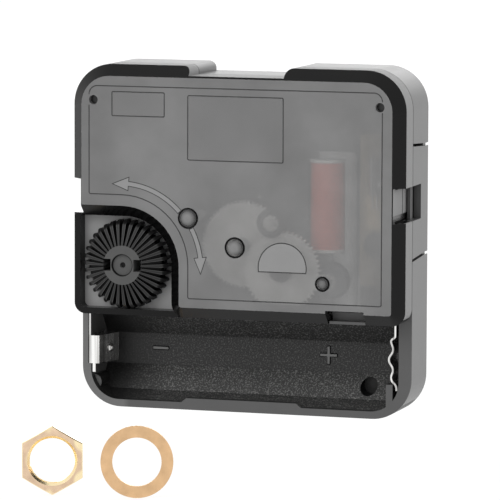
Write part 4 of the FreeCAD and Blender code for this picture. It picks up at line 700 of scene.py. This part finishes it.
def plus(x, z, reach):
    """The twelve corners of a plus sign, in order."""
    corners = []
    for turn in range(4):
        angle = turn * math.pi / 2
        across = Vector((math.cos(angle), math.sin(angle)))
        up = Vector((-across.y, across.x))
        for out, side in ((HALF_STROKE, -HALF_STROKE), (reach, -HALF_STROKE), (reach, HALF_STROKE)):
            corners.append(Vector((x, z)) + across * out + up * side)
    return [(corner.x, corner.y) for corner in corners]


sign("minus_sign", minus(-17.1, -18.7, 1.3))
sign("plus_sign", plus(11.8, -18.65, 1.42))

# Screw threads

TURN_STEPS = 72
ROWS = 10
FLANK_SLOPE = 2.5
CREST_WIDTH = 0.15


def thread_dip(along, angle, pitch):
    """How far the thread's flank lies below its crest, from 0 to 1."""
    place = (along / pitch - angle / (2 * math.pi)) % 1.0
    return min(1.0, max(0.0, abs(place - 0.5) * FLANK_SLOPE - CREST_WIDTH))


def turned_ring(centre, radius_at, along, axis, side, up):
    """A ring of points about an axis, with the radius as a function of the angle."""
    ring = []
    for i in range(TURN_STEPS):
        angle = 2 * math.pi * i / TURN_STEPS
        radius = radius_at(angle)
        outward = side * (radius * math.cos(angle)) + up * (radius * math.sin(angle))
        ring.append((centre + axis * along + outward) * MM)
    return ring


def round_ring(radius, along, centre=Vector((0, 0, 0)), axis=Vector((0, 1, 0)), side=Vector((1, 0, 0))):
    return turned_ring(centre, lambda angle: radius, along, axis, side, Vector((0, 0, 1)))


BUSH_RADIUS = 4.0
BUSH_BORE = 2.85
BUSH_LENGTH = 5.5
BUSH_PITCH = 0.75
BUSH_NECK = 4.45
BUSH_FLANGE = 4.95
FLANGE_REAR = -1.2
FLANGE_FRONT = -0.8
NECK_END = -0.05
NECK_LIP = 4.40
RELIEF_START = 3.72
RELIEF_END = 3.66
BORE_BEVEL = 0.15
THREAD_DEPTH = 0.36
RELIEF = 0.5
END_BEVEL = 0.4


def bush_radius(along):
    """The crest radius along the bush, drawn in over the bevel at its end."""
    return BUSH_RADIUS - max(0.0, along - (BUSH_LENGTH - END_BEVEL))


def threaded_bush():
    axis, side, up = Vector((0, 1, 0)), Vector((1, 0, 0)), Vector((0, 0, 1))
    origin = Vector((0, 0, 0))
    rings = [
        round_ring(BUSH_BORE, FLANGE_REAR),
        round_ring(BUSH_FLANGE, FLANGE_REAR),
        round_ring(BUSH_FLANGE, FLANGE_FRONT),
        round_ring(BUSH_NECK, FLANGE_FRONT),
        round_ring(BUSH_NECK, NECK_END),
        round_ring(NECK_LIP, 0.0),
        round_ring(RELIEF_START, 0.0),
        round_ring(RELIEF_END, RELIEF),
    ]
    rows = round((BUSH_LENGTH - RELIEF) / BUSH_PITCH * ROWS)
    for i in range(1, rows + 1):
        along = RELIEF + (BUSH_LENGTH - RELIEF) * i / rows
        crest = bush_radius(along)
        root = BUSH_RADIUS - THREAD_DEPTH

        def radius(angle):
            cut = crest - THREAD_DEPTH * thread_dip(along, angle, BUSH_PITCH)
            return max(min(crest, cut), min(root, crest))

        rings.append(turned_ring(origin, radius, along, axis, side, up))
    rings.append(round_ring(BUSH_BORE + BORE_BEVEL, BUSH_LENGTH))
    rings.append(round_ring(BUSH_BORE, BUSH_LENGTH - BORE_BEVEL))
    piece = lofted("bush_threaded", rings, SLOT_MATERIALS["turned_brass"])
    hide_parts("threaded_bush")


NUT_FLATS = 10.0
NUT_THICK = 2.0
NUT_BORE = 3.75
NUT_BEVEL = 4.15
NUT_SHOULDER = 4.55
NUT_GROOVE = 0.28
NUT_COUNTERSINK = 0.42
NUT_EDGE = 0.12
NUT_DISHED = 0.03
NUT_ROWS = 16
NUT_CUT_FROM = 5.05
NUT_CUT_SLOPE = 0.55
NUT_TURN = math.radians(17.5)
NUT_CENTRE = Vector((-33.15, -9.7, -42.8 + NUT_FLATS / math.sqrt(3)))


def hexagon(inset):
    """The radius of a hexagon with corners up and down, as a function of the angle."""
    half = NUT_FLATS / 2 - inset

    def radius(angle):
        off = (angle + math.pi / 6) % (math.pi / 3) - math.pi / 6
        return half / math.cos(off)

    return radius


def hex_nut():
    axis = Vector((math.sin(NUT_TURN), -math.cos(NUT_TURN), 0))
    side = Vector((math.cos(NUT_TURN), math.sin(NUT_TURN), 0))
    up = Vector((0, 0, 1))
    half = NUT_THICK / 2

    def ring(radius_at, along):
        return turned_ring(NUT_CENTRE, radius_at, along, axis, side, up)

    def level(radius):
        return lambda angle: radius

    def corner_cut(inset, along):
        """A face ring whose corners fall away where the hexagon passes the bevel circle."""
        points = []
        outline = hexagon(inset)
        for i in range(TURN_STEPS):
            angle = 2 * math.pi * i / TURN_STEPS
            radius = outline(angle)
            drop = max(0.0, radius - NUT_CUT_FROM) * NUT_CUT_SLOPE
            where = along - math.copysign(drop, along)
            outward = side * (radius * math.cos(angle)) + up * (radius * math.sin(angle))
            points.append((NUT_CENTRE + axis * where + outward) * MM)
        return points

    rings = [
        corner_cut(0.0, -half + NUT_EDGE),
        corner_cut(0.0, half - NUT_EDGE),
        corner_cut(NUT_EDGE, half),
        ring(level(NUT_SHOULDER), half),
        ring(level(NUT_BEVEL), half - NUT_DISHED),
        ring(level(NUT_BORE), half - NUT_COUNTERSINK),
    ]
    low = -half + NUT_COUNTERSINK
    high = half - NUT_COUNTERSINK
    for i in range(1, NUT_ROWS):
        along = high + (low - high) * i / NUT_ROWS

        def radius(angle):
            fade = min(1, i / 2, (NUT_ROWS - i) / 2)
            return NUT_BORE + NUT_GROOVE * (1 - thread_dip(along, angle, BUSH_PITCH)) * fade

        rings.append(ring(radius, along))
    rings += [
        ring(level(NUT_BORE), -half + NUT_COUNTERSINK),
        ring(level(NUT_BEVEL), -half + NUT_DISHED),
        ring(level(NUT_SHOULDER), -half),
        corner_cut(NUT_EDGE, -half),
    ]
    piece = lofted("nut_hexagonal", rings, nut_brass())
    edges = piece.modifiers.new("edges", "EDGE_SPLIT")
    edges.split_angle = EDGE_ANGLE
    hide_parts("hex_nut")


threaded_bush()
hex_nut()

# Edges that catch the light

SOFT_EDGES = {"rear_cover": 0.14, "base_case": 0.12, "setting_knob": 0.07, "washer": 0.06}

for name, width in SOFT_EDGES.items():
    soft = nodes[name].modifiers.new("edges", "BEVEL")
    soft.width = width * MM
    soft.segments = 2
    soft.limit_method = "ANGLE"
    soft.angle_limit = EDGE_ANGLE
    soft.use_clamp_overlap = True
    soft.harden_normals = False

# Floor, light and camera

FLOOR_Z = -42.8
FLOOR_DROP = 0.02
FLOOR_REACH = 4000.0
FLOOR_GLOW = 0.83
WORLD_LIGHT = 0.68


def looked_at(tree):
    """1 for rays from the camera and for what gloss and glass show, and 0 for the light itself."""
    path = node(tree, "LightPath").outputs
    return most(tree, path["Is Camera Ray"], path["Is Glossy Ray"], path["Is Transmission Ray"])


def floor():
    mesh = bmesh.new()
    corners = ((-1, -1), (1, -1), (1, 1), (-1, 1))
    level = FLOOR_Z - FLOOR_DROP
    mesh.faces.new([mesh.verts.new(point(x * FLOOR_REACH, d * FLOOR_REACH, level)) for x, d in corners])
    data = bpy.data.meshes.new("floor")
    mesh.to_mesh(data)
    mesh.free()
    made = bpy.data.objects.new("floor", data)
    bpy.context.scene.collection.objects.link(made)
    paint, tree, shader, _ = new_material("floor_pale")
    tree.nodes.remove(shader)
    seen = looked_at(tree)
    dull = node(tree, "BsdfDiffuse", {"Color": (0.75, 0.75, 0.75, 1)}).outputs[0]
    shaded = node(tree, "BsdfDiffuse", {"Color": (0.24, 0.24, 0.24, 1)}).outputs[0]
    glow = node(tree, "Emission", {"Color": (1, 1, 1, 1), "Strength": FLOOR_GLOW}).outputs[0]
    pale = node(tree, "AddShader", {0: shaded, 1: glow}).outputs[0]
    mixed = node(tree, "MixShader", {0: seen, 1: dull, 2: pale}).outputs[0]
    link(tree, mixed, tree.nodes["Material Output"].inputs["Surface"])
    data.materials.append(paint)


def world():
    made = bpy.data.worlds.new("studio")
    bpy.context.scene.world = made
    made.use_nodes = True
    tree = made.node_tree
    seen = looked_at(tree)
    back = tree.nodes["Background"]
    back.inputs["Color"].default_value = (1, 1, 1, 1)
    link(tree, ramp(tree, seen, 0, 1, WORLD_LIGHT, 1.0), back.inputs["Strength"])


def lamp(name, place, aim, width, height, power):
    """A soft lamp in metres and watts, turned to face a point and hidden from the camera."""
    data = bpy.data.lights.new(name, "AREA")
    data.shape = "RECTANGLE"
    data.size = width
    data.size_y = height
    data.energy = power
    made = bpy.data.objects.new(name, data)
    bpy.context.scene.collection.objects.link(made)
    made.location = place
    made.rotation_euler = (Vector(aim) - Vector(place)).to_track_quat("-Z", "Y").to_euler()
    made.visible_camera = False


CAMERA_AZIMUTH = math.radians(17.475)
CAMERA_ELEVATION = math.radians(6.411)
CAMERA_TARGET = Vector((-2.15, 0.0, -2.02))
CAMERA_ROLL = math.radians(0.2)
CAMERA_DISTANCE = 731.18
CAMERA_LENS = 320.67
SENSOR_WIDTH = 36.0


def camera():
    data = bpy.data.cameras.new("view")
    data.lens = CAMERA_LENS
    data.sensor_width = SENSOR_WIDTH
    made = bpy.data.objects.new("view", data)
    bpy.context.scene.collection.objects.link(made)
    away = Vector(
        (
            math.sin(CAMERA_AZIMUTH) * math.cos(CAMERA_ELEVATION),
            -math.cos(CAMERA_AZIMUTH) * math.cos(CAMERA_ELEVATION),
            math.sin(CAMERA_ELEVATION),
        )
    )
    made.location = (CAMERA_TARGET + away * CAMERA_DISTANCE) * MM
    made.rotation_euler = away.to_track_quat("Z", "Y").to_euler()
    made.rotation_euler.rotate_axis("Z", CAMERA_ROLL)
    bpy.context.scene.camera = made


floor()
world()
lamp("key", (-0.45, -0.95, 0.75), (0, 0, 0), 0.8, 0.8, 4.6)
lamp("back", (0.35, 1.25, 0.62), (0, 0, 0.0), 1.7, 0.7, 4.1)
lamp("rim", (-0.42, 1.25, 0.20), (0, 0, 0.03), 0.9, 0.3, 1.7)
lamp("side", (1.05, 0.75, 0.35), (0, 0, 0.0), 0.8, 0.6, 4.9)
camera()
bpy.context.scene.view_settings.view_transform = "Standard"
